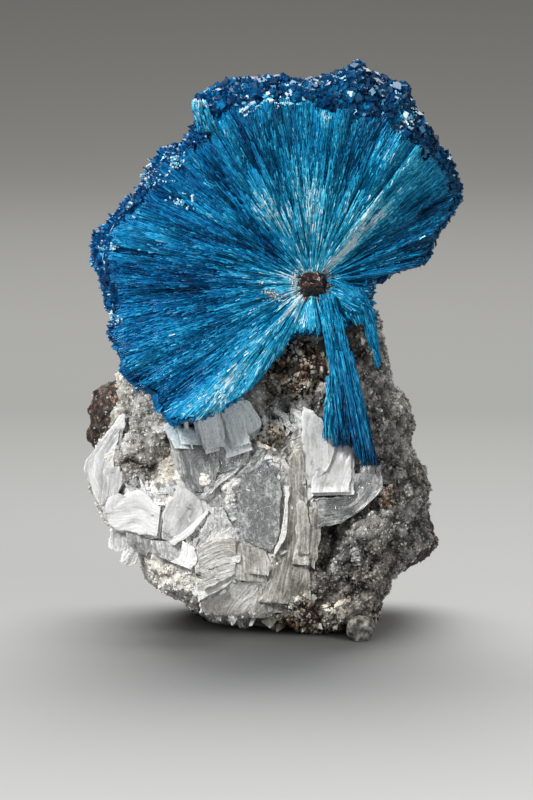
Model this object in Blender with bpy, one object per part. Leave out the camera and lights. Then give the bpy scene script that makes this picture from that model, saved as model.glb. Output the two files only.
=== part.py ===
# Cavansite rosette, broken open through its middle, on basalt coated with zeolites.
# Metres, +Z up. The specimen stands on the flat patch under its basalt, and the origin is on that patch.
# X runs across the open face, +Y is behind it. The rosette and the matrix lean back by LEAN.
import math

import bmesh
import bpy
from mathutils import Matrix, Vector, noise

MM = 0.001
LEAN = math.radians(10)
GAP = 0.3 * MM  # left between neighbouring solids

ROSETTE_RADIUS = 18.0 * MM
ROSETTE_CENTRE = (2.2 * MM, 27.9 * MM, -3.2 * MM)  # across, up, depth
ROSETTE_BACK = 7.2 * MM  # how far the closed side of the ball stands behind the centre
GRAIN_RADIUS = 1.45 * MM  # basalt grain that the needles grew from

MATRIX_RADIUS = 14.5 * MM
MATRIX_CENTRE = (-1.4 * MM, 12.0 * MM)  # across, up
CRUST_RIM_DEPTH = 1.6 * MM
CRUST_FRONT = 6.2 * MM
CRUST_BACK = 3.4 * MM
BASALT_RIM_DEPTH = 4.4 * MM
BASALT_FRONT = 6.0 * MM
BASALT_BACK = 8.2 * MM
CRUST_CLEARANCE = 0.4 * MM  # crust and crystals stay this far above the ground

# Rims seen from the front: (angle in degrees from +X, share of the radius).
ROSETTE_RIM = (
    (0, 0.27), (7, 0.36), (10, 0.52), (16, 0.57), (22, 0.61), (26, 0.71), (31, 0.77), (40, 0.82),
    (50, 0.88), (60, 0.93), (65, 1.0), (74, 1.0), (78, 1.05), (83, 0.97), (91, 0.92), (102, 0.95),
    (113, 0.99), (122, 0.98), (126, 0.89), (134, 0.88), (138, 0.93), (152, 0.91), (158, 0.96),
    (166, 1.02), (175, 1.01), (183, 0.97), (189, 0.93), (194, 0.96), (201, 0.93), (209, 0.94),
    (215, 0.88), (220, 0.91), (226, 0.90), (230, 0.80), (235, 0.70), (242, 0.58), (246, 0.36),
    (252, 0.25), (290, 0.22), (320, 0.26), (340, 0.28),
)
# Width of the belt of needle ends round the open face, as a share of the radius.
BELT_WIDTH = (
    (0, 0.03), (30, 0.04), (40, 0.07), (50, 0.12), (64, 0.19), (78, 0.26), (91, 0.12), (102, 0.13),
    (113, 0.15), (122, 0.13), (130, 0.08), (152, 0.07), (165, 0.09), (182, 0.08), (195, 0.03), (340, 0.03),
)
# How far the open face leans towards the front at each angle, in degrees. It steps back past 126.
FACE_LEAN = (
    (0, -8), (25, -6), (45, 4), (52, 14), (78, 22), (110, 23), (125, 21), (129, 9), (150, 7),
    (175, 6), (200, 8), (214, 5), (228, 14), (240, 10), (252, 2), (300, 8), (340, -2),
)
MATRIX_RIM = (
    (0, 0.87), (7, 0.85), (13, 0.80), (26, 0.89), (41, 0.93), (50, 1.08), (58, 1.20), (65, 1.33),
    (80, 1.33), (92, 1.22), (102, 1.02), (115, 0.88), (130, 0.90), (144, 1.04), (154, 1.08),
    (165, 1.02), (177, 0.98), (193, 0.94), (207, 0.85), (222, 0.86), (235, 0.81), (247, 0.85),
    (263, 0.83), (279, 0.84), (286, 0.92), (294, 1.02), (303, 1.11), (308, 1.03), (313, 0.93),
    (321, 0.90), (330, 0.95), (339, 1.0), (345, 0.93), (356, 0.90),
)
# Where the basalt comes out to the rim, and how far the crust stops short: (angle, half width, share).
BARE_RIM = (
    (158, 17, 0.15), (337, 21, 0.07), (306, 6, 0.06), (285, 8, 0.10), (95, 38, 0.22), (252, 32, 0.0),
)
COATED_BASALT = 0.92  # size of the basalt where the crust covers its rim
# Lumps of basalt that come through the crust: (across, up from the matrix's centre, radius, height).
BASALT_KNOBS = (
    (2.6 * MM, 8.8 * MM, 3.0 * MM, 3.7 * MM),
    (2.3 * MM, -11.2 * MM, 3.2 * MM, 3.4 * MM),
    (5.6 * MM, -11.8 * MM, 3.2 * MM, 3.0 * MM),
    (10.0 * MM, -1.2 * MM, 1.3 * MM, 3.9 * MM),
    (0.4 * MM, 3.4 * MM, 1.3 * MM, 4.1 * MM),
)
# Swellings (+) and hollows (-) of the crust: (across, up, radius, height).
CRUST_SWELLS = (
    (2.6 * MM, 8.8 * MM, 3.6 * MM, -1.9 * MM),
    (9.2 * MM, -6.6 * MM, 4.6 * MM, 2.4 * MM),
    (10.6 * MM, 4.2 * MM, 3.6 * MM, 1.4 * MM),
    (-6.0 * MM, -8.4 * MM, 4.0 * MM, 1.5 * MM),
    (7.6 * MM, -11.4 * MM, 2.6 * MM, 1.6 * MM),
    (-9.6 * MM, 0.6 * MM, 2.8 * MM, -1.5 * MM),
    (5.4 * MM, -4.2 * MM, 2.6 * MM, -1.2 * MM),
    (-9.2 * MM, 4.2 * MM, 2.6 * MM, 0.8 * MM),
)

COLOURS = {
    "cavansite": ((0.010, 0.165, 0.330), 0.35, 0.0),
    "basalt": ((0.060, 0.042, 0.034), 0.85, 0.0),
    "crust": ((0.420, 0.415, 0.390), 0.80, 0.0),
    "stilbite": ((0.820, 0.820, 0.800), 0.35, 0.0),
    "clear_zeolite": ((0.600, 0.610, 0.610), 0.15, 0.0),
}


def clear_scene():
    for old in list(bpy.data.objects):
        bpy.data.objects.remove(old)


def new_collection(name, shown):
    collection = bpy.data.collections.new(name)
    collection.hide_render = not shown
    bpy.context.scene.collection.children.link(collection)
    return collection


def material(name):
    found = bpy.data.materials.get(name)
    if found:
        return found
    made = bpy.data.materials.new(name)
    made.use_nodes = True
    shader = made.node_tree.nodes["Principled BSDF"]
    colour, roughness, metallic = COLOURS[name]
    shader.inputs["Base Color"].default_value = (*colour, 1.0)
    shader.inputs["Roughness"].default_value = roughness
    shader.inputs["Metallic"].default_value = metallic
    return made


def add_object(name, bm, collection, finish=None):
    mesh = bpy.data.meshes.new(name)
    bm.to_mesh(mesh)
    bm.free()
    if finish:
        mesh.materials.append(material(finish))
    made = bpy.data.objects.new(name, mesh)
    collection.objects.link(made)
    return made


def table_value(table, angle):
    """The table's value at an angle, straight between its rows and going round past the last one."""
    angle %= 360
    rows = [(table[-1][0] - 360, table[-1][1]), *table, (table[0][0] + 360, table[0][1])]
    for (low, first), (high, second) in zip(rows, rows[1:]):
        if low <= angle <= high:
            share = (angle - low) / (high - low)
            return first + (second - first) * share
    return table[0][1]


def wave(x, y, z, seed):
    """Smooth noise from -1 to 1 whose features are about as wide as one unit."""
    return noise.noise(Vector((x, y, z)) + Vector((seed, -seed, 2.0 * seed)))


def seen_at(across, up, depth):
    """The point at this depth that a look along the leaning view meets across and up from the origin."""
    return Vector((across, depth, (up - depth * math.sin(LEAN)) / math.cos(LEAN)))


def polar_ball(segments, rings):
    """A UV sphere with a pole in front and a pole behind."""
    bm = bmesh.new()
    poles_front_and_back = Matrix.Rotation(math.radians(90), 4, "X")
    bmesh.ops.create_uvsphere(
        bm, u_segments=segments, v_segments=rings, radius=1.0, matrix=poles_front_and_back
    )
    return bm


def cube_ball(cuts):
    """A sphere without poles: a cube, subdivided and puffed out."""
    bm = bmesh.new()
    bmesh.ops.create_cube(bm, size=2.0)
    bmesh.ops.subdivide_edges(bm, edges=bm.edges, cuts=cuts, use_grid_fill=True)
    for vertex in bm.verts:
        x, y, z = (math.tan(value * math.pi / 4) for value in vertex.co)
        vertex.co = Vector((x, y, z)).normalized()
    return bm


def round_body(name, bm, shape, place, finish, collection, grow=0.0):
    """A ball whose points shape() moves, leant back and put in its place.

    shape takes the angle round the face in degrees, the share of the way from the front pole to the
    back one and how far the faces stand out for a cutter. It gives the distance from the middle and
    the depth.
    """
    for vertex in bm.verts:
        x, y, z = vertex.co
        angle = math.degrees(math.atan2(z, x)) % 360
        share = math.acos(max(-1.0, min(1.0, -y))) / math.pi
        distance, depth = shape(angle, share, grow)
        turn = math.radians(angle)
        vertex.co = (distance * math.cos(turn), depth, distance * math.sin(turn))
    bmesh.ops.transform(bm, verts=bm.verts, matrix=Matrix.Rotation(-LEAN, 4, "X"))
    bmesh.ops.recalc_face_normals(bm, faces=bm.faces)
    made = add_object(name, bm, collection, finish)
    made.location = place
    return made


def rosette_shape(angle, share, grow):
    """Open face from the grain to the needle ends, then the belt of ends, then the closed back."""
    face_end, belt_end = 0.54, 0.70
    rim = table_value(ROSETTE_RIM, angle) * ROSETTE_RADIUS
    belt = min(table_value(BELT_WIDTH, angle) * ROSETTE_RADIUS, 0.4 * rim)
    edge = rim - belt
    forward = -math.tan(math.radians(table_value(FACE_LEAN, angle)))
    edge_depth = forward * edge
    rim_depth = edge_depth + 0.6 * MM + 0.95 * belt
    ribs = (0.45 * wave(angle / 4.5, 0, 0, 3.1) + 0.7 * wave(angle / 17, 0, 0, 8.7)) * MM
    if share <= face_end:
        along = share / face_end
        return (edge + grow) * along, (forward * edge + ribs) * along - grow
    lump = wave(angle / 5, share * 30, 0, 5.5)
    if share <= belt_end:
        along = (share - face_end) / (belt_end - face_end)
        out = math.sin(along * math.pi / 2)
        back = 1 - math.cos(along * math.pi / 2)
        distance = edge + belt * out + 0.45 * MM * lump * along
        depth = edge_depth + (rim_depth - edge_depth) * back + ribs * (1 - along)
        return distance + grow, depth - grow * (1 - along)
    along = (share - belt_end) / (1 - belt_end)
    round_by = math.sin(along * math.pi / 2)
    narrow_by = math.cos(along * math.pi / 2)
    distance = rim * narrow_by + 0.45 * MM * lump * (1 - along)
    depth = rim_depth + (ROSETTE_BACK - rim_depth) * round_by + 0.3 * MM * lump
    return distance + grow * narrow_by, depth + grow * round_by


def rosette(name, collection, finish=None, grow=0.0):
    place = seen_at(*ROSETTE_CENTRE)
    return round_body(name, polar_ball(94, 20), rosette_shape, place, finish, collection, grow)


def nucleus_grain(name, collection, finish=None, grow=0.0):
    """The lump of basalt at the middle of the open face."""
    bm = bmesh.new()
    bmesh.ops.create_icosphere(bm, subdivisions=2, radius=GRAIN_RADIUS)
    for vertex in bm.verts:
        rough = 1 + 0.28 * wave(*(vertex.co / (0.9 * MM)), 4.2)
        vertex.co = vertex.co * rough + vertex.co.normalized() * grow
        vertex.co.y *= 0.75
    made = add_object(name, bm, collection, finish)
    made.location = seen_at(*ROSETTE_CENTRE) + Vector((0, 0.2 * MM, 0))
    return made


def squarish(share, power):
    """Distance and depth shares of a rounded slab's profile, from its front pole to its back one."""
    turn = share * math.pi
    along = math.copysign(abs(math.cos(turn)) ** power, -math.cos(turn))
    return math.sin(turn) ** power, along


def slab_growth(share, grow):
    """How much further out and further along the faces of a rounded slab stand in a cutter."""
    side = math.sin(share * math.pi) ** 4
    return grow * side, grow * math.copysign(1 - side * side, share - 0.5)


def bareness(angle):
    """How bare the basalt is at the rim, and how far the crust stops short there."""
    bare, shortfall = 0.0, 0.0
    for middle, half_width, most in BARE_RIM:
        away = abs((angle - middle + 180) % 360 - 180) / half_width
        bare = max(bare, 1 - away * away)
        shortfall = max(shortfall, most * (1 - away * away))
    return bare, shortfall


def knob_height(across, up, grow):
    height = 0.0
    for knob_across, knob_up, radius, top in BASALT_KNOBS:
        away = math.hypot(across - knob_across, up - knob_up) / (radius + grow)
        height = max(height, (top + grow) * max(0.0, 1 - away ** 3) - grow)
    return height


def swell_height(across, up):
    height = 0.0
    for swell_across, swell_up, radius, top in CRUST_SWELLS:
        away = math.hypot(across - swell_across, up - swell_up) / radius
        height += top * max(0.0, 1 - away * away) ** 1.5
    return height


def basalt_shape(angle, share, grow):
    bare, _ = bareness(angle)
    turn = math.radians(angle)
    foot = max(0.0, -math.sin(turn)) ** 6
    size = COATED_BASALT + (0.99 - COATED_BASALT) * bare + 0.03 * foot
    rim = table_value(MATRIX_RIM, angle) * MATRIX_RADIUS * size
    out, along = squarish(share, 0.62 - 0.22 * foot)
    across, up = rim * out * math.cos(turn), rim * out * math.sin(turn)
    rough = wave(across / (3.2 * MM), up / (3.2 * MM), along * 2, 1.7)
    fine = wave(across / (1.6 * MM), up / (1.6 * MM), along * 4, 6.1)
    more_out, more_along = slab_growth(share, grow)
    distance = rim * out + (0.4 * rough + 0.25 * fine) * MM * out + more_out
    if along > 0:
        return distance, along * BASALT_BACK + (1.3 * rough + 0.5 * fine) * MM * along + more_along
    depth = along * BASALT_FRONT + 0.4 * rough * MM * abs(along) + more_along
    return distance, depth - knob_height(across, up, 2 * grow) * abs(along) ** 0.3


def basalt_host(name, collection, finish=None, grow=0.0):
    place = seen_at(*MATRIX_CENTRE, BASALT_RIM_DEPTH)
    return round_body(name, cube_ball(10), basalt_shape, place, finish, collection, grow)


def crust_shape(angle, share, grow):
    _, shortfall = bareness(angle)
    rim = (table_value(MATRIX_RIM, angle) - shortfall) * MATRIX_RADIUS
    out, along = squarish(share, 0.66)
    turn = math.radians(angle)
    across, up = rim * out * math.cos(turn), rim * out * math.sin(turn)
    lumps = wave(across / (2.2 * MM), up / (2.2 * MM), along, 9.3)
    beads = wave(across / (1.0 * MM), up / (1.0 * MM), along * 3, 2.9)
    distance = rim * out + (0.4 * lumps + 0.25 * beads) * MM * out
    if along > 0:
        lip = 1 + 0.45 * wave(angle / 24, 0, 0, 7.7)
        return distance, along * CRUST_BACK * lip
    relief = (0.9 * lumps + 0.45 * beads) * MM + swell_height(across, up)
    return distance, along * CRUST_FRONT - relief * abs(along)


def zeolite_crust(name, collection, finish):
    place = seen_at(*MATRIX_CENTRE, CRUST_RIM_DEPTH)
    return round_body(name, cube_ball(14), crust_shape, place, finish, collection)


def add_blade(bm, root, tip, widths, thickness):
    """A flat six-sided crystal from root to tip, with its broad face to the front and a cut-back end."""
    length = (tip - root).length
    along = (tip - root).normalized()
    facing = Vector((0, -math.cos(LEAN), math.sin(LEAN)))
    normal = (facing - along * facing.dot(along)).normalized()
    side = normal.cross(along)
    cut_back = min(0.3 * widths[1], 0.3 * length)
    flats_in_front = Matrix.Rotation(math.radians(30), 4, "Z")
    bmesh.ops.create_cone(
        bm, cap_ends=True, segments=6, radius1=widths[0] / 2, radius2=widths[1] / 2,
        depth=length - cut_back, matrix=Matrix.Translation((0, 0, -cut_back / 2)) @ flats_in_front,
    )
    bm.normal_update()
    end = max(bm.faces, key=lambda face: face.normal.z)
    pulled = bmesh.ops.extrude_discrete_faces(bm, faces=[end])["faces"][0].verts
    bmesh.ops.translate(bm, vec=(0, 0, cut_back), verts=pulled)
    bmesh.ops.scale(bm, vec=(0.55, 0.62, 1), verts=pulled)
    flatten = thickness / (max(widths) * math.cos(math.radians(30)))
    axes = Matrix((side, normal, along)).transposed().to_4x4()
    place = Matrix.Translation((root + tip) / 2) @ axes @ Matrix.Diagonal((1, flatten, 1, 1))
    bmesh.ops.transform(bm, matrix=place, verts=bm.verts)


def sheaf(name, blades, collection, spare, finish=None, grow=0.0):
    """One solid of several blades grown together. A blade is (root, tip, widths, thickness) in mm."""
    parts = []
    for index, (root, tip, widths, thickness) in enumerate(blades):
        bm = bmesh.new()
        root_at, tip_at = (seen_at(*(value * MM for value in point)) for point in (root, tip))
        along = (tip_at - root_at).normalized() * grow
        across = [width * MM + 2 * grow for width in widths]
        add_blade(bm, root_at - along, tip_at + along, across, thickness * MM + 2 * grow)
        bmesh.ops.recalc_face_normals(bm, faces=bm.faces)
        where = spare if index else collection
        parts.append(add_object(name if index == 0 else f"{name}_blade", bm, where, finish))
    for other in parts[1:]:
        combine(parts[0], other, "UNION")
        bpy.data.objects.remove(other)
    return parts[0]


def as_cutter(thing):
    thing.hide_render = True
    thing.display_type = "WIRE"
    return thing


def combine(target, other, operation):
    """Applies a Boolean to the target, and keeps the largest of the bodies that it leaves."""
    step = target.modifiers.new("step", "BOOLEAN")
    step.operation = operation
    step.object = other
    bpy.context.view_layer.update()
    graph = bpy.context.evaluated_depsgraph_get()
    made = bpy.data.meshes.new_from_object(target.evaluated_get(graph))
    target.modifiers.clear()
    old = target.data
    target.data = made
    bpy.data.meshes.remove(old)
    keep_largest(target.data)


def keep_largest(mesh):
    bm = bmesh.new()
    bm.from_mesh(mesh)
    bmesh.ops.triangulate(bm, faces=bm.faces)
    left = set(bm.faces)
    bodies = []
    while left:
        body = {left.pop()}
        edge_of_body = list(body)
        while edge_of_body:
            face = edge_of_body.pop()
            beside = {f for e in face.edges for f in e.link_faces} & left
            left -= beside
            body |= beside
            edge_of_body.extend(beside)
        bodies.append(body)
    bodies.sort(key=lambda body: sum(face.calc_area() for face in body))
    spare = [face for body in bodies[:-1] for face in body]
    bmesh.ops.delete(bm, geom=spare, context="FACES")
    bm.to_mesh(mesh)
    bm.free()


def ground(collection, height):
    """A block whose top is at this height, to cut the underside flat."""
    bm = bmesh.new()
    size = Matrix.Diagonal((80 * MM, 80 * MM, 20 * MM, 1))
    bmesh.ops.create_cube(bm, size=1.0, matrix=Matrix.Translation((0, 0, height - 10 * MM)) @ size)
    return as_cutter(add_object(f"ground_{height / MM:.1f}", bm, collection))


# Each crystal group: root and tip as (across, up, depth), widths at root and tip, thickness, in mm.
CAVANSITE_LEG = (
    ((3.0, 25.6, -4.1), (4.3, 15.1, -5.7), (1.2, 2.3), 1.3),
    ((3.4, 25.6, -4.1), (6.7, 13.2, -5.9), (1.2, 1.9), 1.3),
    ((3.2, 25.6, -4.1), (5.5, 16.0, -5.6), (1.2, 2.1), 1.5),
)
CAVANSITE_WISP = (
    ((5.3, 26.8, -3.1), (7.7, 21.3, -3.5), (0.9, 1.0), 0.8),
    ((5.0, 26.6, -3.2), (6.0, 23.6, -3.7), (0.7, 0.8), 0.7),
)
WHITE_BLADE = (
    ((3.1, 15.4, -4.2), (3.7, 10.7, -5.8), (3.4, 3.9), 1.5),
    ((1.8, 15.8, -4.2), (2.1, 11.6, -5.2), (1.6, 1.7), 1.4),
)
CLEAR_COLUMN = (
    ((1.0, 11.6, -4.6), (0.3, 1.5, -5.6), (1.4, 3.2), 1.5),
    ((1.2, 11.0, -4.8), (1.2, 1.0, -5.9), (1.0, 1.8), 1.6),
    ((0.7, 9.4, -4.8), (-0.7, 1.6, -5.6), (1.0, 1.9), 1.3),
)
CLEAR_BLADE_RIGHT = (
    ((7.1, 13.3, -4.3), (2.7, 8.9, -5.3), (2.0, 1.7), 1.3),
    ((6.5, 13.6, -4.2), (6.4, 10.3, -5.4), (1.9, 1.9), 1.2),
)
FROSTED_CRYSTAL = (
    ((-3.5, 13.9, -4.2), (-4.3, 17.8, -5.3), (3.0, 2.7), 2.0),
    ((-5.1, 14.3, -4.2), (-3.0, 17.0, -5.4), (2.5, 2.1), 1.7),
)
GREY_BLADE = (
    ((-7.6, 15.6, -4.6), (-6.6, 10.8, -5.9), (3.2, 1.5), 1.3),
    ((-4.6, 14.6, -4.5), (-5.9, 12.3, -5.5), (2.8, 1.7), 1.2),
)
CLEAR_PLATE = (
    ((-2.4, 5.3, -5.0), (-2.4, 12.9, -5.1), (3.4, 5.2), 1.5),
    ((-4.1, 6.9, -4.9), (-5.9, 11.0, -5.3), (1.9, 1.5), 1.3),
)
LEFT_SHEAF = (
    ((-14.1, 10.2, -2.1), (-13.5, 17.0, -2.9), (2.6, 1.4), 1.5),
    ((-14.6, 10.6, -1.9), (-14.8, 14.6, -2.8), (2.0, 1.5), 1.4),
    ((-13.7, 10.2, -2.3), (-13.0, 14.9, -3.3), (1.9, 1.2), 1.3),
)
WHITE_SHEAF = (
    ((-9.2, 8.7, -4.1), (-14.6, 9.0, -3.3), (2.5, 1.7), 1.8),
    ((-9.4, 7.6, -4.3), (-13.4, 8.1, -3.8), (1.9, 1.7), 1.5),
    ((-9.8, 7.8, -4.3), (-7.0, 11.3, -5.4), (2.1, 2.5), 1.4),
)
LOWER_SHEAF = (
    ((-3.5, 6.2, -4.4), (-7.3, 5.7, -5.2), (1.7, 2.0), 1.4),
    ((-3.7, 5.1, -4.6), (-7.5, 3.9, -5.4), (2.1, 2.2), 1.5),
    ((-3.3, 3.6, -4.6), (-6.6, 2.3, -5.2), (2.1, 1.8), 1.4),
    ((-2.2, 4.0, -4.8), (-3.9, 1.4, -5.5), (2.4, 2.4), 1.6),
)
SMALL_PLATES = (
    ((-11.1, 7.6, -2.8), (-13.6, 6.1, -3.0), (2.0, 1.5), 1.1),
    ((-10.7, 6.8, -3.0), (-12.7, 5.2, -3.3), (1.6, 1.2), 1.1),
    ((-11.0, 7.2, -3.2), (-8.4, 6.0, -4.9), (1.8, 1.6), 1.2),
    ((-9.2, 6.4, -3.8), (-7.5, 5.0, -4.9), (1.3, 1.2), 1.1),
)
# From the front of the specimen to the back: each is cut by those before it.
CRYSTAL_GROUPS = (
    ("cavansite_leg", CAVANSITE_LEG, "cavansite"),
    ("cavansite_wisp", CAVANSITE_WISP, "cavansite"),
    ("white_blade", WHITE_BLADE, "stilbite"),
    ("clear_column", CLEAR_COLUMN, "clear_zeolite"),
    ("grey_blade", GREY_BLADE, "clear_zeolite"),
    ("frosted_crystal", FROSTED_CRYSTAL, "stilbite"),
    ("clear_plate", CLEAR_PLATE, "clear_zeolite"),
    ("clear_blade_right", CLEAR_BLADE_RIGHT, "clear_zeolite"),
    ("white_sheaf", WHITE_SHEAF, "stilbite"),
    ("left_sheaf", LEFT_SHEAF, "stilbite"),
    ("lower_sheaf", LOWER_SHEAF, "stilbite"),
    ("small_plates", SMALL_PLATES, "clear_zeolite"),
)


def main():
    clear_scene()
    pieces = new_collection("cavansite_specimen", True)
    cutters = new_collection("cutters", False)
    grow = 1.3 * GAP

    low_ground = ground(cutters, CRUST_CLEARANCE)
    basalt = basalt_host("basalt_host", pieces, "basalt")
    combine(basalt, ground(cutters, 0.0), "DIFFERENCE")
    nucleus_grain("nucleus_grain", pieces, "basalt")
    spaces = [
        as_cutter(basalt_host("basalt_space", cutters, grow=1.4 * grow)),
        as_cutter(nucleus_grain("grain_space", cutters, grow=grow)),
    ]
    fan = rosette("cavansite_rosette", pieces, "cavansite")
    for space in spaces:
        combine(fan, space, "DIFFERENCE")
    spaces.append(as_cutter(rosette("rosette_space", cutters, grow=grow)))

    for name, blades, finish in CRYSTAL_GROUPS:
        group = sheaf(name, blades, pieces, cutters, finish)
        for space in [*spaces, low_ground]:
            combine(group, space, "DIFFERENCE")
        spaces.append(as_cutter(sheaf(f"{name}_space", blades, cutters, cutters, grow=grow)))

    crust = zeolite_crust("zeolite_crust", pieces, "crust")
    for space in [*spaces, low_ground]:
        combine(crust, space, "DIFFERENCE")


main()
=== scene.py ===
import bpy
import numpy as np
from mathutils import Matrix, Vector


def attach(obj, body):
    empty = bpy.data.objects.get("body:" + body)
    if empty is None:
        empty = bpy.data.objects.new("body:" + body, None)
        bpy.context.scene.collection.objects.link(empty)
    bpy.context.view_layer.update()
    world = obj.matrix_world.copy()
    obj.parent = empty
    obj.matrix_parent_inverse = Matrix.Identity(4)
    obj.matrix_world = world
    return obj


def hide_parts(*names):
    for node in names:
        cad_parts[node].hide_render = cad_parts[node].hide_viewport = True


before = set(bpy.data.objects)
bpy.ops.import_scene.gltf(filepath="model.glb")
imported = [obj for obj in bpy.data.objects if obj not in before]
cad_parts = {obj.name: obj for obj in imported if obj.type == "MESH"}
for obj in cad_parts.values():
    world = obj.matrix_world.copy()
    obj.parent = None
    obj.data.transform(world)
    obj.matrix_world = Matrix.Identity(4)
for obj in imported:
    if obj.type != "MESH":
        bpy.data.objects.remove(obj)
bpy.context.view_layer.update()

# Lengths are in millimetres up to the moment a mesh is made. The open face of the rosette looks along -Y,
# and the specimen and the camera's look lean by the same angle, so (across, up) is what a picture shows.
millimetre = 0.001
lean = np.radians(10.0)
cosLean, sinLean = np.cos(lean), np.sin(lean)


def stacked(*parts):
    # coordinates of different shapes, or single numbers, as one array of points
    return np.stack(np.broadcast_arrays(*parts), axis=-1)


def seenAt(across, up, depth):
    # world point at this depth, seen this far across and up: height = (up - depth * sin) / cos
    return stacked(across, depth, (up - depth * sinLean) / cosLean)


def leanBack(points):
    # turns by the lean about X: depth' = depth * cos + up * sin, up' = up * cos - depth * sin
    across, depth, up = np.moveaxis(points, -1, 0)
    return stacked(across, depth * cosLean + up * sinLean, up * cosLean - depth * sinLean)


def polar(angle, distance, depth):
    # the point at this angle in degrees round the depth axis, and this far from it
    turn = np.radians(angle)
    return stacked(distance * np.cos(turn), depth, distance * np.sin(turn))


def angleOf(across, up):
    return np.degrees(np.arctan2(up, across)) % 360


def unit(vectors):
    return vectors / np.maximum(np.linalg.norm(vectors, axis=-1, keepdims=True), 1e-9)


def tableAt(table, angle):
    rows = np.array(table, dtype=float)
    return np.interp(angle, rows[:, 0], rows[:, 1], period=360.0)


def bell(value, middle, width):
    # 1 at the middle and exp(-1) at the width: exp(-((value - middle) / width)^2)
    return np.exp(-(((value - middle) / width) ** 2))


def cornerValue(ix, iy, iz, seed):
    # an evenly spread value from -1 to 1 that depends only on the three whole numbers and the seed
    h = (ix * 73856093 ^ iy * 19349663 ^ iz * 83492791 ^ (seed * 2654435761)) & 0xFFFFFFFF
    h = ((h >> 16) ^ h) * 0x45D9F3B & 0xFFFFFFFF
    h = ((h >> 16) ^ h) * 0x45D9F3B & 0xFFFFFFFF
    return ((h >> 16) ^ h) / 2147483648.0 - 1.0


def smoothNoise(points, size, seed):
    # values at the corners of cubes of this size, blended with weights 3f^2 - 2f^3
    p = points / size
    i = np.floor(p).astype(np.int64)
    f = p - i
    f = f * f * (3.0 - 2.0 * f)
    total = np.zeros(p.shape[:-1])
    for dx, dy, dz in np.ndindex(2, 2, 2):
        weight = np.abs(1 - dx - f[..., 0]) * np.abs(1 - dy - f[..., 1]) * np.abs(1 - dz - f[..., 2])
        total += weight * cornerValue(i[..., 0] + dx, i[..., 1] + dy, i[..., 2] + dz, seed)
    return total


def noiseAlong(values, size, seed):
    return smoothNoise(stacked(values, 0.0, 0.0), size, seed)


def fractalNoise(points, size, seed, octaves):
    # noise plus half as strong noise of half the size, and so on
    return sum(0.5**k * smoothNoise(points, size / 2**k, seed + k) for k in range(octaves))


def pebbles(points, size, seed):
    # 1 at the middle of each grain, falling to about 0 in the creases: 1 - (distance to nearest grain)^2
    p = points / size
    i = np.floor(p).astype(np.int64)
    nearest = np.full(p.shape[:-1], 9.0)
    for step in np.ndindex(3, 3, 3):
        cell = [i[..., k] + step[k] - 1 for k in range(3)]
        away = sum((cell[k] + 0.5 + 0.45 * cornerValue(*cell, seed + k) - p[..., k]) ** 2 for k in range(3))
        nearest = np.minimum(nearest, away)
    return 1.0 - np.minimum(nearest, 1.0)


def cornersOf(points, faces):
    return (points[faces[:, k]] for k in range(3))


def outward(points, faces):
    # a closed body whose signed volume is below 0 is inside out
    a, b, c = (corner - points[0] for corner in cornersOf(points, faces))
    return faces if np.einsum("ij,ij->", a, np.cross(b, c)) > 0 else faces[:, ::-1]


def polarFaces(rings, around):
    # faces of a closed ball of rings: a fan at each pole and two triangles for each cell between rings
    k = np.arange(around)
    after = (k + 1) % around
    last = 1 + rings * around
    start = (1 + np.arange(rings - 1) * around)[:, None]
    a, b = (start + k).ravel(), (start + after).ravel()
    c, d = b + around, a + around
    front = np.stack([np.zeros_like(k), 1 + after, 1 + k], axis=1)
    back = np.stack([np.full_like(k, last), last - around + k, last - around + after], axis=1)
    return np.concatenate([front, np.stack([a, b, c], 1), np.stack([a, c, d], 1), back])


def polarBall(shape, shares, around):
    # (distance, depth) = shape(angle, share) swept round the depth axis, with a pole at each end
    angles, inner = np.meshgrid(np.arange(around) * 360.0 / around, shares[1:-1])
    rings = polar(angles, *shape(angles, inner)).reshape(-1, 3)
    poles = [[0.0, shape(np.zeros(1), np.full(1, s))[1][0], 0.0] for s in (shares[0], shares[-1])]
    points = np.concatenate([poles[:1], rings, poles[1:]])
    return points, outward(points, polarFaces(len(shares) - 2, around))


def plainBall(radius, flat, rings):
    # a ball that is flattened along the depth axis
    return polarBall(
        lambda angle, share: (radius * np.sin(share * np.pi), -flat * radius * np.cos(share * np.pi)),
        np.linspace(0, 1, rings), 90,
    )


def vertexNormals(points, faces):
    # sum of the normals of the faces round each vertex, brought to length 1
    a, b, c = cornersOf(points, faces)
    normal = np.cross(b - a, c - a)
    total = np.zeros_like(points)
    for k in range(3):
        np.add.at(total, faces[:, k], normal)
    return total / np.maximum(np.linalg.norm(total, axis=1, keepdims=True), 1e-12)


def addPiece(name, points, faces, finish, stands, tone=None, smooth=False, fibres=None, lowest=0.0):
    # tone has one value for each point, or one for each copy of a repeated shape; nothing goes below lowest
    points[:, 2] = np.maximum(points[:, 2], lowest)
    mesh = bpy.data.meshes.new(name)
    mesh.from_pydata(points * millimetre, [], outward(points, faces))
    mesh.polygons.foreach_set("use_smooth", np.full(len(faces), smooth))
    if tone is not None:
        tone = np.repeat(np.clip(tone, 0, 1), len(points) // len(tone))
        mesh.attributes.new("tone", "FLOAT", "POINT").data.foreach_set("value", tone)
    if fibres is not None:
        vectors = fibres.ravel() * millimetre
        mesh.attributes.new("fibres", "FLOAT_VECTOR", "POINT").data.foreach_set("vector", vectors)
    mesh.materials.append(finish)
    mesh.update()
    piece = bpy.data.objects.new(name, mesh)
    bpy.context.scene.collection.objects.link(piece)
    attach(piece, "root")
    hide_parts(*stands)
    return piece


def copies(points, oneSet):
    # points has one row of corners for each copy: joins them all, with the same faces for every copy
    count, corners = points.shape[:2]
    faces = (np.arange(count) * corners)[:, None, None] + oneSet
    return points.reshape(-1, 3), faces.reshape(-1, 3)


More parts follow.
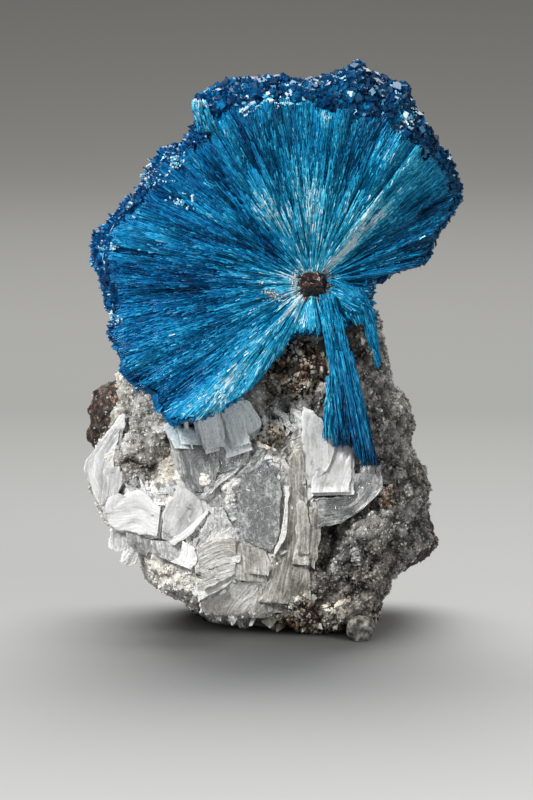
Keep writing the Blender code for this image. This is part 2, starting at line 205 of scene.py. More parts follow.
prismFaces = np.array([
    [0, 2, 1], [0, 1, 4], [1, 2, 5], [2, 0, 3], [0, 4, 3], [1, 5, 4], [2, 3, 5], [3, 4, 6], [4, 5, 6], [5, 3, 6],
])
block = (
    np.array([[x, y, z] for x in (-1, 1) for y in (-1, 1) for z in (-1, 1)], dtype=float),
    np.array([
        [0, 1, 3], [0, 3, 2], [4, 6, 7], [4, 7, 5], [0, 4, 5], [0, 5, 1],
        [2, 3, 7], [2, 7, 6], [0, 2, 6], [0, 6, 4], [1, 5, 7], [1, 7, 3],
    ]),
)
bead = (
    np.array([[1, 0, 0], [-1, 0, 0], [0, 1, 0], [0, -1, 0], [0, 0, 1], [0, 0, -1]], dtype=float),
    np.array([
        [0, 2, 4], [2, 1, 4], [1, 3, 4], [3, 0, 4], [2, 0, 5], [1, 2, 5], [3, 1, 5], [0, 3, 5],
    ]),
)


def crystals(starts, ends, widths, rolls, startShare=0.7):
    # three-sided prisms from start to end: a ring at the start, a wider one at the shoulder, and a point
    axis = ends - starts
    length = np.linalg.norm(axis, axis=1, keepdims=True)
    axis = axis / length
    helper = np.where(np.abs(axis[:, 2:]) < 0.9, [[0.0, 0.0, 1.0]], [[1.0, 0.0, 0.0]])
    side = unit(np.cross(axis, helper))
    other = np.cross(axis, side)
    turn = (rolls[:, None] + np.arange(3) * 2 * np.pi / 3)[..., None]
    ring = (side[:, None] * np.cos(turn) + other[:, None] * np.sin(turn)) * (widths / 2)[:, None, None]
    first = starts[:, None] + np.reshape(startShare, (-1, 1, 1)) * ring
    shoulder = ends - axis * np.minimum(0.8 * widths[:, None], 0.45 * length)
    return copies(np.concatenate([first, shoulder[:, None] + ring, ends[:, None]], axis=1), prismFaces)


def grains(shape, centres, sizes, rng):
    # small crystals: one shape squeezed differently along each axis, slanted, and turned at random
    count = len(centres)
    corners = shape[0][None] * rng.uniform(0.5, 1.0, (count, 1, 3)) * sizes[:, None, None] / 2
    corners[..., 0:1] += rng.uniform(-0.35, 0.35, (count, 1, 1)) * corners[..., 2:3]
    w, x, y, z = unit(rng.normal(size=(count, 4))).T
    turn = np.stack([
        stacked(1 - 2 * (y * y + z * z), 2 * (x * y - w * z), 2 * (x * z + w * y)),
        stacked(2 * (x * y + w * z), 1 - 2 * (x * x + z * z), 2 * (y * z - w * x)),
        stacked(2 * (x * z - w * y), 2 * (y * z + w * x), 1 - 2 * (x * x + y * y)),
    ], axis=1)
    return copies(np.einsum("nij,nkj->nki", turn, corners) + centres[:, None], shape[1])


def scatter(points, faces, count, rng, chance=1.0):
    # random places on the faces, with a chance that goes with area: returns places and normals
    a, b, c = cornersOf(points, faces)
    cross = np.cross(b - a, c - a)
    area = np.linalg.norm(cross, axis=1)
    odds = area * chance
    pick = rng.choice(len(faces), count, p=odds / odds.sum())
    u, v = rng.random(count), rng.random(count)
    flip = u + v > 1
    u, v = np.where(flip, 1 - u, u)[:, None], np.where(flip, 1 - v, v)[:, None]
    place = a[pick] + u * (b[pick] - a[pick]) + v * (c[pick] - a[pick])
    return place, cross[pick] / np.maximum(area[pick], 1e-12)[:, None]


# Finishes. All but the basalt ones read the tone of their piece, from 0, dark or clear, to 1, pale or milky.


def newFinish(name):
    finish = bpy.data.materials.new(name)
    finish.use_nodes = True
    return finish, finish.node_tree, finish.node_tree.nodes["Principled BSDF"]


def fill(node, values):
    for socket, value in values.items():
        node.inputs[socket].default_value = value


def attributeOf(tree, name, output):
    attribute = tree.nodes.new("ShaderNodeAttribute")
    attribute.attribute_name = name
    return attribute.outputs[output]


def placeOf(tree):
    return tree.nodes.new("ShaderNodeTexCoord").outputs["Object"]


def axisOf(tree, axis):
    split = tree.nodes.new("ShaderNodeSeparateXYZ")
    tree.links.new(placeOf(tree), split.inputs["Vector"])
    return split.outputs[axis]


def noiseOf(tree, scale, detail=4.0, place=None, roughness=0.5, distortion=0.0):
    # noise whose features are 1 / scale metres wide, on the piece's own coordinates or on the given ones
    noise = tree.nodes.new("ShaderNodeTexNoise")
    fill(noise, {"Scale": scale, "Detail": detail, "Roughness": roughness, "Distortion": distortion})
    tree.links.new(place or placeOf(tree), noise.inputs["Vector"])
    return noise.outputs["Fac"]


def spreadOf(tree, source, low, high, least, most):
    # low to high becomes least to most
    spread = tree.nodes.new("ShaderNodeMapRange")
    fill(spread, {"From Min": low, "From Max": high, "To Min": least, "To Max": most})
    tree.links.new(source, spread.inputs["Value"])
    return spread.outputs["Result"]


def sumOf(tree, first, second):
    total = tree.nodes.new("ShaderNodeMath")
    total.operation = "ADD"
    tree.links.new(first, total.inputs[0])
    tree.links.new(second, total.inputs[1])
    return total.outputs["Value"]


def colourOf(tree, value, stops):
    # stops are (place, colour), or (place, grey)
    ramp = tree.nodes.new("ShaderNodeValToRGB")
    for place, _ in stops[1:-1]:
        ramp.color_ramp.elements.new(place)
    for element, (place, colour) in zip(ramp.color_ramp.elements, sorted(stops)):
        element.position = place
        element.color = (*(colour if isinstance(colour, tuple) else (colour,) * 3), 1.0)
    tree.links.new(value, ramp.inputs["Fac"])
    return ramp.outputs["Color"]


def productOf(tree, first, second, share=None):
    # first times second, fully or by a linked share
    mix = tree.nodes.new("ShaderNodeMix")
    mix.data_type, mix.blend_type = "RGBA", "MULTIPLY"
    mix.inputs["Factor"].default_value = 1.0
    if share:
        tree.links.new(share, mix.inputs["Factor"])
    tree.links.new(first, mix.inputs["A"])
    tree.links.new(second, mix.inputs["B"])
    return mix.outputs["Result"]


def bumpFrom(tree, shader, height, strength, distance):
    bump = tree.nodes.new("ShaderNodeBump")
    fill(bump, {"Strength": strength, "Distance": distance})
    tree.links.new(height, bump.inputs["Height"])
    tree.links.new(bump.outputs["Normal"], shader.inputs["Normal"])


def shiftOf(tree, source, low, high, share, below=0.5):
    # the source as a change of this size in all, of which the share below lies under 0
    return spreadOf(tree, source, low, high, -below * share, (1 - below) * share)


needleLook = {
    "stops": (
        (0.00, (0.0004, 0.005, 0.022)), (0.20, (0.0008, 0.040, 0.125)), (0.45, (0.002, 0.150, 0.330)),
        (0.65, (0.012, 0.320, 0.540)), (0.82, (0.085, 0.530, 0.720)), (1.00, (0.740, 0.850, 0.910)),
    ),
    "leftTint": (0.45, 0.85, 1.03), "rightTint": (0.80, 1.10, 1.10), "tintFrom": (-0.012, 0.004),
    "tintFade": (0.75, 1.0),  # tones over which the tint fades out
    "roughness": (0.13, 0.41), "roughScale": 900.0, "ior": 1.55, "stipple": 0.34, "stippleScale": 2600.0,
    "gloss": 0.38, "glossTint": (0.50, 0.86, 1.0, 1.0),
}


def makeNeedleFinish(name, look):
    # colour by tone plus a fine stipple, bluer at the left and greener at the right
    finish, tree, shader = newFinish(name)
    stipple = noiseOf(tree, look["stippleScale"], 3.0)
    total = sumOf(tree, attributeOf(tree, "tone", "Fac"), shiftOf(tree, stipple, 0.2, 0.8, look["stipple"]))
    across = spreadOf(tree, axisOf(tree, "X"), *look["tintFrom"], 0.0, 1.0)
    tint = colourOf(tree, across, ((0.0, look["leftTint"]), (1.0, look["rightTint"])))
    share = spreadOf(tree, total, *look["tintFade"], 1.0, 0.0)
    colour = productOf(tree, colourOf(tree, total, look["stops"]), tint, share)
    tree.links.new(colour, shader.inputs["Base Color"])
    rough = spreadOf(tree, noiseOf(tree, look["roughScale"]), 0.0, 1.0, *look["roughness"])
    tree.links.new(rough, shader.inputs["Roughness"])
    fill(shader, {"IOR": look["ior"], "Specular IOR Level": look["gloss"], "Specular Tint": look["glossTint"]})
    return finish


crustLook = {
    "stops": (
        (0.00, (0.008, 0.007, 0.006)), (0.22, (0.060, 0.057, 0.052)), (0.50, (0.290, 0.284, 0.266)),
        (0.72, (0.570, 0.562, 0.540)), (1.00, (0.880, 0.880, 0.870)),
    ),
    "tanStops": ((0.42, (1.0, 1.0, 1.0)), (0.78, (0.93, 0.85, 0.72))), "tanScale": 220.0,
    "roughness": 0.68, "stipple": 0.42, "stippleScale": 2900.0, "speckScale": 4200.0, "bump": (0.45, 0.00012),
}
rustyLook = {
    **crustLook, "tanScale": 700.0,
    "tanStops": ((0.36, (1.0, 1.0, 0.96)), (0.50, (0.86, 0.80, 0.66)), (0.62, (0.42, 0.25, 0.17))),
}


def makeCrustFinish(name, look):
    # colour by tone plus a stipple, with tan or rusty patches
    finish, tree, shader = newFinish(name)
    stipple = noiseOf(tree, look["stippleScale"], 5.0, roughness=0.72)
    total = sumOf(tree, attributeOf(tree, "tone", "Fac"), shiftOf(tree, stipple, 0.3, 0.7, look["stipple"]))
    tan = colourOf(tree, noiseOf(tree, look["tanScale"]), look["tanStops"])
    tree.links.new(productOf(tree, colourOf(tree, total, look["stops"]), tan), shader.inputs["Base Color"])
    fill(shader, {"Roughness": look["roughness"]})
    bumpFrom(tree, shader, noiseOf(tree, look["speckScale"]), *look["bump"])
    return finish


basaltLook = {
    "stops": (
        (0.38, (0.002, 0.002, 0.002)), (0.46, (0.010, 0.008, 0.007)), (0.51, (0.058, 0.046, 0.039)),
        (0.55, (0.024, 0.017, 0.014)), (0.59, (0.185, 0.078, 0.045)), (0.67, (0.380, 0.325, 0.250)),
    ),
    "roughness": 0.62, "gloss": 0.35, "mottle": 2300.0, "patches": 260.0, "patchShare": 0.16,
    "speckScale": 3000.0, "bump": (0.6, 0.00015),
}
nucleusLook = {
    **basaltLook, "mottle": 1900.0, "roughness": 0.3, "gloss": 0.5,
    "stops": (
        (0.40, (0.001, 0.001, 0.001)), (0.50, (0.004, 0.003, 0.003)), (0.55, (0.080, 0.018, 0.012)),
        (0.59, (0.006, 0.004, 0.004)), (0.66, (0.140, 0.050, 0.035)), (0.74, (0.300, 0.260, 0.230)),
    ),
}


def makeBasaltFinish(name, look):
    # a fine mottle of black, grey, rust and tan, which broad patches make darker or paler
    finish, tree, shader = newFinish(name)
    patches = shiftOf(tree, noiseOf(tree, look["patches"]), 0.0, 1.0, look["patchShare"])
    total = sumOf(tree, noiseOf(tree, look["mottle"], 6.0, roughness=0.72), patches)
    tree.links.new(colourOf(tree, total, look["stops"]), shader.inputs["Base Color"])
    fill(shader, {"Roughness": look["roughness"], "Specular IOR Level": look["gloss"]})
    bumpFrom(tree, shader, noiseOf(tree, look["speckScale"], 5.0), *look["bump"])
    return finish


bladeLook = {
    "ior": 1.50, "clearRoughness": 0.10, "milkyRoughness": 0.30, "clearThrough": 0.66, "milkyThrough": 0.14,
    "stops": ((0.0, (0.34, 0.355, 0.36)), (0.5, (0.66, 0.66, 0.645)), (1.0, (0.94, 0.94, 0.93))),
    "sugar": 5200.0, "sugarShare": 0.26, "threads": 1000.0, "threadShare": 0.30,
    "threadStops": ((0.36, 0.0), (0.47, 0.35), (0.50, 1.0), (0.53, 0.35), (0.64, 0.0)),
    "hairs": 7500.0, "hairShare": 0.34, "hairStops": ((0.36, 0.0), (0.50, 0.30), (0.55, 0.45), (0.66, 1.0)),
    "grooves": (0.55, 0.0003),
    "glow": 0.0, "glowReach": 0.0006,  # share of light that spreads inside, and how far
}


def makeBladeFinish(name, look):
    # tone 0 is clear crystal and tone 1 milky: it sets the colour, the roughness and how much light goes through
    finish, tree, shader = newFinish(name)
    hairs = noiseOf(tree, look["hairs"], place=attributeOf(tree, "fibres", "Vector"), distortion=0.35)
    threads = noiseOf(tree, look["threads"], distortion=1.4)
    total = attributeOf(tree, "tone", "Fac")
    for change in (
        shiftOf(tree, colourOf(tree, hairs, look["hairStops"]), 0.0, 1.0, look["hairShare"], 0.4),
        shiftOf(tree, colourOf(tree, threads, look["threadStops"]), 0.0, 1.0, look["threadShare"], 0.3),
        shiftOf(tree, noiseOf(tree, look["sugar"], 3.0), 0.3, 0.7, look["sugarShare"]),
    ):
        total = sumOf(tree, total, change)
    tree.links.new(colourOf(tree, total, look["stops"]), shader.inputs["Base Color"])
    for socket, clear, milky in (
        ("Roughness", look["clearRoughness"], look["milkyRoughness"]),
        ("Transmission Weight", look["clearThrough"], look["milkyThrough"]),
    ):
        tree.links.new(spreadOf(tree, total, 0.0, 1.0, clear, milky), shader.inputs[socket])
    fill(shader, {
        "IOR": look["ior"], "Subsurface Weight": look["glow"], "Subsurface Scale": look["glowReach"],
        "Subsurface Radius": (1.0, 1.0, 1.0),
    })
    bumpFrom(tree, shader, hairs, *look["grooves"])
    return finish


needleFinish = makeNeedleFinish("cavansiteNeedles", needleLook)
crustFinish = makeCrustFinish("zeoliteCrust", crustLook)
basaltFinish = makeBasaltFinish("basalt", basaltLook)
nucleusFinish = makeBasaltFinish("nucleusRock", nucleusLook)
bladeFinish = makeBladeFinish("stilbite", bladeLook)
pearlFinish = makeBladeFinish("pearlStilbite", {
    **bladeLook, "threadShare": 0.05, "sugarShare": 0.22, "hairShare": 0.18, "milkyThrough": 0.16, "glow": 0.5,
    "grooves": (0.28, 0.0003), "milkyRoughness": 0.24,
    "stops": ((0.0, (0.50, 0.51, 0.51)), (0.5, (0.78, 0.78, 0.77)), (1.0, (0.97, 0.97, 0.96))),
})
frostedFinish = makeBladeFinish("frostedStilbite", {
    **bladeLook, "threadShare": 0.20, "sugarShare": 0.36, "hairShare": 0.24, "milkyThrough": 0.08, "glow": 0.5,
    "stops": ((0.0, (0.56, 0.73, 0.83)), (0.5, (0.76, 0.91, 0.98)), (1.0, (0.92, 0.99, 1.0))),
})
warmFinish = makeBladeFinish("warmStilbite", {
    **bladeLook, "threadShare": 0.24, "hairShare": 0.42,
    "stops": ((0.0, (0.38, 0.36, 0.31)), (0.5, (0.70, 0.68, 0.62)), (1.0, (0.95, 0.94, 0.91))),
})
clearFinish = makeBladeFinish("clearStilbite", {
    **bladeLook, "threads": 1400.0, "threadShare": 0.55, "sugarShare": 0.34, "hairShare": 0.20,
    "stops": ((0.0, (0.42, 0.435, 0.44)), (0.5, (0.70, 0.70, 0.69)), (1.0, (0.95, 0.95, 0.94))),
})
rustyFinish = makeCrustFinish("rustyGrains", rustyLook)
print("finishes made")

# The rosette: thousands of needles from one grain, broken open through its middle.

rosette = {
    "centre": (2.2, 27.9, -3.2),  # across, up, depth
    "radius": 18.0,
    "back": 7.2,
    "rim": (
        (0, 0.27), (7, 0.36), (10, 0.52), (16, 0.57), (22, 0.62), (26, 0.72), (31, 0.785), (40, 0.835),
        (50, 0.865), (60, 0.915), (65, 0.98), (74, 0.985), (78, 1.03), (83, 0.955), (91, 0.90), (102, 0.93),
        (113, 0.97), (122, 0.965), (126, 0.88), (134, 0.87), (138, 0.92), (152, 0.90), (158, 0.94),
        (166, 1.0), (175, 0.99), (183, 0.95), (189, 0.92), (194, 0.95), (201, 0.93), (204, 0.955),
        (209, 0.94), (215, 0.88), (220, 0.91), (226, 0.89), (228, 0.84), (231, 0.79), (235, 0.69), (240, 0.55),
        (243, 0.42), (248, 0.28), (252, 0.25), (290, 0.24), (320, 0.26), (340, 0.28),
    ),
    "belt": (
        (0, 0.03), (30, 0.04), (40, 0.07), (50, 0.12), (64, 0.19), (78, 0.26), (91, 0.12), (102, 0.13),
        (113, 0.15), (122, 0.13), (130, 0.08), (152, 0.07), (165, 0.09), (182, 0.08), (195, 0.03),
        (340, 0.03),
    ),
    "lean": (
        (0, -8), (25, -6), (45, 4), (52, 14), (78, 22), (110, 23), (125, 21), (129, 9), (150, 7),
        (175, 6), (200, 8), (214, 5), (228, 14), (240, 10), (252, 2), (300, 8), (340, -2),
    ),
    # how light the needles are far out, by angle; darker at 0 to 30 degrees as painted shade, and bright near 41 to
    # 50 and 229 degrees as painted highlights
    "tone": (
        (0, 0.18), (20, 0.16), (33, 0.23), (41, 0.44), (50, 0.42), (60, 0.36), (80, 0.40), (95, 0.44),
        (110, 0.40), (122, 0.52), (130, 0.37), (137, 0.28), (150, 0.31), (162, 0.42), (175, 0.35),
        (187, 0.34), (198, 0.37), (210, 0.40), (222, 0.42), (229, 0.70), (235, 0.54), (246, 0.40),
        (268, 0.46), (290, 0.42), (320, 0.30),
    ),
    # pale sugar on the needles: (angle, distance, radius)
    "frost": (
        (111, 15.0, 1.2), (104, 14.7, 0.8), (98, 14.6, 0.7), (146, 15.6, 1.7), (139, 15.0, 1.1), (60, 15.2, 0.9),
        (147, 12.3, 0.9), (170, 17.0, 0.8), (190, 16.4, 0.7),
    ),
    "frostGrains": 1300,
    "faceNeedles": 34000,
    "chips": 8000,
    "rimCrystals": 15000,
    "coreSink": 0.28,
    "around": 560,  # points round the body
    "lowLeft": (198, 250),  # where the rim is bare and lighter
    "needleLengths": (1.4, 5.5), "needleWidths": (0.06, 0.16), "chipLengths": (0.25, 0.9),
    "frostSizes": (0.12, 0.36),
    "bundleWidth": 2.3,  # in degrees
    "stepHeight": 0.22, "stepTone": 0.13,
    # lighter and darker patches of the open face: (change of tone, angle, half width, distance, half length); the
    # light streak at 46 degrees is a painted highlight
    "patches": ((0.44, 46, 7, 4.4, 3.0), (-0.20, 142, 16, 3.6, 2.0)),
    # strokes along the needles: (change of tone, angle, degrees that it swerves in 1 mm, half width, start)
    "strokes": ((0.10, 121, 0.0, 2.2, 6.0), (-0.13, 143.5, -1.1, 3.2, 3.0)),
    # the pale middle: (change of tone, reach, how much further towards this angle, angle, half width)
    "middle": (0.30, 5.0, 3.5, 85, 38),
}
faceEnd, beltEnd = 0.54, 0.70  # where along the profile the open face and the belt end
faceRings, beltRings, backRings = 27, 16, 61


def ribsAt(angle):
    return 0.40 * noiseAlong(angle, 4.5, 3) + 0.55 * noiseAlong(angle, 17.0, 8)


def rosetteSize(angle):
    # rim, width of the belt of needle ends, and where the open face stops
    rim, belt = (tableAt(rosette[key], angle) * rosette["radius"] for key in ("rim", "belt"))
    belt = np.minimum(belt, 0.4 * rim)
    return rim, belt, rim - belt


def faceSlope(angle):
    return -np.tan(np.radians(tableAt(rosette["lean"], angle)))


def faceDepth(angle, distance):
    # depth = -tan(lean) * distance + ribs that grow towards the rim
    return faceSlope(angle) * distance + ribsAt(angle) * np.minimum(distance / rosetteSize(angle)[2], 1.0)


def rosetteShape(angle, share):
    # the open face, then a quarter of an ellipse round the belt, then another over the back, both with lumps
    rim, belt, edge = rosetteSize(angle)
    edgeDepth = faceSlope(angle) * edge
    rimDepth = edgeDepth + 0.6 + 0.95 * belt
    alongFace = np.clip(share / faceEnd, 0, 1)
    alongBelt = np.clip((share - faceEnd) / (beltEnd - faceEnd), 0, 1)
    alongBack = np.clip((share - beltEnd) / (1 - beltEnd), 0, 1)
    beltTurn, backTurn = alongBelt * np.pi / 2, alongBack * np.pi / 2
    lump = smoothNoise(polar(angle, rim * np.cos(backTurn), 12.0 * alongBelt + 6.0 * alongBack), 1.9, 5)
    beltDistance = edge + belt * np.sin(beltTurn) + 0.45 * lump * alongBelt
    beltDepth = edgeDepth + (rimDepth - edgeDepth) * (1 - np.cos(beltTurn)) + ribsAt(angle) * (1 - alongBelt)
    backDistance = rim * np.cos(backTurn) + 0.45 * lump * (1 - alongBack)
    backDepth = rimDepth + (rosette["back"] - rimDepth) * np.sin(backTurn) + 0.35 * lump
    zones = [share <= faceEnd, share <= beltEnd]
    distance = np.select(zones, [edge * alongFace, beltDistance], backDistance)
    return distance, np.select(zones, [faceDepth(angle, edge * alongFace), beltDepth], backDepth)


def rosettePlace(points):
    return leanBack(points) + seenAt(*rosette["centre"])


def addNeedles(name, points, faces, tone, smooth=False, stands="cavansite_rosette"):
    addPiece(name, points, faces, needleFinish, [stands], tone, smooth)


def isLowLeft(angle):
    return (angle > rosette["lowLeft"][0]) & (angle < rosette["lowLeft"][1])


def frostAt(angle, distance):
    # 1 in the middle of a patch of pale sugar, falling to 0 at its radius
    turn = np.radians(angle)
    most = np.zeros_like(distance)
    for at, far, radius in rosette["frost"]:
        across = distance * np.cos(turn) - far * np.cos(np.radians(at))
        up = distance * np.sin(turn) - far * np.sin(np.radians(at))
        most = np.maximum(most, 1 - np.hypot(across, up) / radius)
    return most


def faceTone(angle, distance):
    # sectors, broad patches, strokes along the needles, the pale middle, and clouds; the sectors and patches hold
    # painted shade and painted highlights
    tone = tableAt(rosette["tone"], angle)
    for change, at, width, far, reach in rosette["patches"]:
        tone = tone + change * bell(angle, at, width) * bell(distance, far, reach)
    for change, at, swerve, width, start in rosette["strokes"]:
        tone = tone + change * bell(angle, at + swerve * distance, width) * np.clip(distance / start - 1, 0, 1)
    change, reach, further, at, width = rosette["middle"]
    tone = tone + change * bell(distance, 0.0, reach + further * bell(angle, at, width))
    spot = polar(angle, distance, 0.0)
    return tone + 0.14 * smoothNoise(spot, 3.2, 61) + 0.13 * smoothNoise(spot, 1.1, 62)


def goldenTurns(count):
    # a fixed spread of rolls: each is the last one turned by the golden angle
    return np.arange(count) * 2.39996


def makeCore():
    # the body under the crystals: smooth on the open face, and lumpy on the belt and the back
    around = rosette["around"]
    shares = np.concatenate([
        np.linspace(0, faceEnd, faceRings + 1), np.linspace(faceEnd, beltEnd, beltRings + 1)[1:],
        np.linspace(beltEnd, 1, backRings + 1)[1:],
    ])
    points, faces = polarBall(rosetteShape, shares, around)
    ring = np.concatenate([[0], np.repeat(np.arange(len(shares) - 2), around), [len(shares) - 2]])
    rough = np.clip((ring - faceRings) / 3.0, 0, 1)
    lumps = 0.34 * pebbles(points, 1.5, 91) + 0.22 * pebbles(points, 0.7, 92) - 0.28
    sunk = points + vertexNormals(points, faces) * (rough * lumps - rosette["coreSink"])[:, None]
    turn = angleOf(points[:, 0], points[:, 2])
    # the smooth core takes the needles' tone by angle, painted shade and highlights with it, and is a little darker
    # as painted shade in the gaps between the needles
    smoothTone = tableAt(rosette["tone"], turn) - 0.04 + 0.08 * smoothNoise(points, 0.7, 4)
    lumpyTone = 0.12 + 0.2 * isLowLeft(turn) + 0.08 * smoothNoise(points, 1.2, 4) + 0.25 * (lumps + 0.1)
    addNeedles("rosetteCore", rosettePlace(sunk), faces, np.where(rough > 0, lumpyTone, smoothTone), True)
    return points, sunk, faces


def makeFace(rng):
    # places on the open face: the chance goes with edge^2 by angle, and with the square root of the distance
    needles, count = rosette["faceNeedles"], rosette["faceNeedles"] + rosette["chips"]
    chips = count - needles
    angles = np.linspace(0, 360, 3601)
    total = np.cumsum(rosetteSize(angles)[2] ** 2)
    angle = np.interp(rng.random(count) * total[-1], total, angles)
    edge = rosetteSize(angle)[2]
    middle = edge * np.sqrt(rng.random(count))

    # the face breaks in steps: each bundle of needles has its own
    bundle = np.floor((angle + 1.5 * noiseAlong(angle, 9.0, 21)) / rosette["bundleWidth"]).astype(np.int64)
    stepSize = 2.6 + 1.0 * cornerValue(bundle, 0, 0, 31)
    stepAt = np.floor(middle / stepSize + 0.7 * cornerValue(bundle, 1, 0, 32)).astype(np.int64)
    step = cornerValue(bundle, stepAt, 0, 41)
    tone = faceTone(angle, middle) + rosette["stepTone"] * step + rng.normal(0, 0.06, count)

    # length and lift above the face; the chips are shorter, higher and steeper
    length = rng.uniform(*rosette["needleLengths"], count) * (0.35 + 0.65 * middle / edge)
    length[needles:] = rng.uniform(*rosette["chipLengths"], chips)
    near = np.maximum(middle - length / 2, 0.9)
    ragged = edge + 0.35 * cornerValue(bundle, 9, 0, 71) + rng.uniform(-0.35, 0.25, count)
    far = np.maximum(np.minimum(middle + length / 2, ragged), near + 0.3)
    lift = rosette["stepHeight"] * step + rng.uniform(-0.08, 0.11, count)
    lift[needles:] = rosette["stepHeight"] * step[needles:] + rng.uniform(0.05, 0.24, chips)
    tilt = rng.normal(0, 0.04, count)
    tilt[needles:] = rng.uniform(0.0, 0.16, chips)
    swing = rng.normal(0, 0.35, count) + 0.6 * cornerValue(bundle, 5, 0, 51)
    swing = swing * np.clip(middle / 6.0, 0.3, 1.0)
    widths = rng.uniform(*rosette["needleWidths"], count) * (0.55 + 0.45 * np.minimum(far / 10.0, 1.0))
    tone[needles:] += rng.uniform(0.0, 0.28, chips)
    for name, low, high in (
        ("faceNeedles1", 0, needles // 2), ("faceNeedles2", needles // 2, needles), ("faceChips", needles, count),
    ):
        part = slice(low, high)
        ends = []
        for distance, side in ((near[part], -1), (far[part], 1)):
            turn = angle[part] + side * swing[part] * 0.5
            rise = (lift[part] + side * tilt[part]) * np.minimum(distance / 5.0, 1.0)
            ends.append(polar(turn, distance, faceDepth(turn, distance) - rise))
        start = 0.35 + 0.5 * near[part] / far[part]
        body, faces = crystals(*ends, widths[part], goldenTurns(high - low), start)
        addNeedles(name, rosettePlace(body), faces, tone[part], name != "faceChips")


def makeFrost(rng):
    # pale sugar in patches near the edge of the open face
    at, far, radius = np.array(rosette["frost"])[rng.integers(0, len(rosette["frost"]), rosette["frostGrains"])].T
    loose = rng.normal(0, 0.38, (2, len(at))) * radius
    across, up = far * np.cos(np.radians(at)) + 1.4 * loose[0], far * np.sin(np.radians(at)) + 0.8 * loose[1]
    far, at = np.hypot(across, up), angleOf(across, up)
    keep = (far < rosetteSize(at)[2] + 0.2) & (smoothNoise(stacked(across, up, 0.0), 0.5, 66) > -0.25)
    spots = stacked(across, faceDepth(at, far) - rng.uniform(0.1, 0.35, len(at)), up)[keep]
    body, pieces = grains(bead, rosettePlace(spots), rng.uniform(*rosette["frostSizes"], len(spots)), rng)
    addNeedles("rosetteFrost", body, pieces, rng.uniform(0.8, 1.1, len(spots)))


def makeRim(points, sunk, faces, rng):
    # blocky crystals on the belt and on the closed back, and more pointed ones towards the left
    corner = points[faces[:, 0]]
    chance = np.where((faces.max(axis=1) - 1) // rosette["around"] > faceRings, 1.0, 0.0)
    chance = chance * np.where(corner[:, 1] < 2.0, 2.0, 1.0)
    bare = isLowLeft(angleOf(corner[:, 0], corner[:, 2])) & (corner[:, 1] < 1.0)
    place, out = scatter(sunk, faces, rosette["rimCrystals"], rng, np.where(bare, 0.3 * chance, chance))
    count, at = len(place), angleOf(place[:, 0], place[:, 2])
    leftward = np.clip((at - 95) / 30, 0, 1)
    sizes = (0.12 + rng.gamma(2.4, 0.058, count)) * (1 + 0.5 * np.exp(-(((at - 88) / 34) ** 4)))
    bright = smoothNoise(place, 1.7, 95) + 0.4 * smoothNoise(place, 0.7, 96)
    leftRim = leftward * np.clip(1.5 - place[:, 1] / 1.5, 0, 1)
    tone = 0.07 + (0.42 + 0.6 * leftRim) * rng.gamma(1.8, 0.11, count) + 0.12 * bright
    # painted glints: where the bright noise is high, crystals turn near white; in the frost patches they turn white
    # as pale sugar
    frostAndGlints = np.clip(0.75 * (bright - 0.5), 0.02, 0.45) * np.where(at > 125, 0.5, 1.0)
    frostAndGlints += 1.3 * frostAt(at, np.hypot(place[:, 0], place[:, 2]))
    white = rng.random(count) < frostAndGlints
    tone = np.where(white, rng.uniform(0.6, 1.1, count), tone)
    sizes = np.where(white, 0.75 * sizes, sizes)
    tone = np.where(isLowLeft(at), 0.26 + 0.7 * tone, tone)
    tips = rng.random(count) < 0.15 + 0.75 * leftward
    spots = rosettePlace(place + out * (sizes * 0.1)[:, None])[~tips]
    addNeedles("rosetteBlocks", *grains(block, spots, sizes[~tips], rng), tone[~tips])

    # the points stand along the surface's own direction, leaning away from the middle
    place, out, sizes, tone = place[tips], out[tips], sizes[tips], tone[tips]
    along = unit(unit(place + [0.0, 2.0, 0.0]) + 1.3 * out + rng.normal(0, 0.28, place.shape))
    reach = sizes[:, None] * rng.uniform(0.3, 1.1, (len(place), 1))
    starts, ends = rosettePlace(place - 0.5 * along), rosettePlace(place + reach * along)
    addNeedles("rosetteTips", *crystals(starts, ends, 0.65 * sizes, goldenTurns(len(place))), tone + 0.05)


def makeRosette():
    rng = np.random.default_rng(11)
    core = makeCore()
    makeFace(rng)
    makeFrost(rng)
    makeRim(*core, rng)


makeRosette()
print("rosette made")

# Bundles that stand off the open face: each strand is (start, bend, end, half widths, share of the needles).

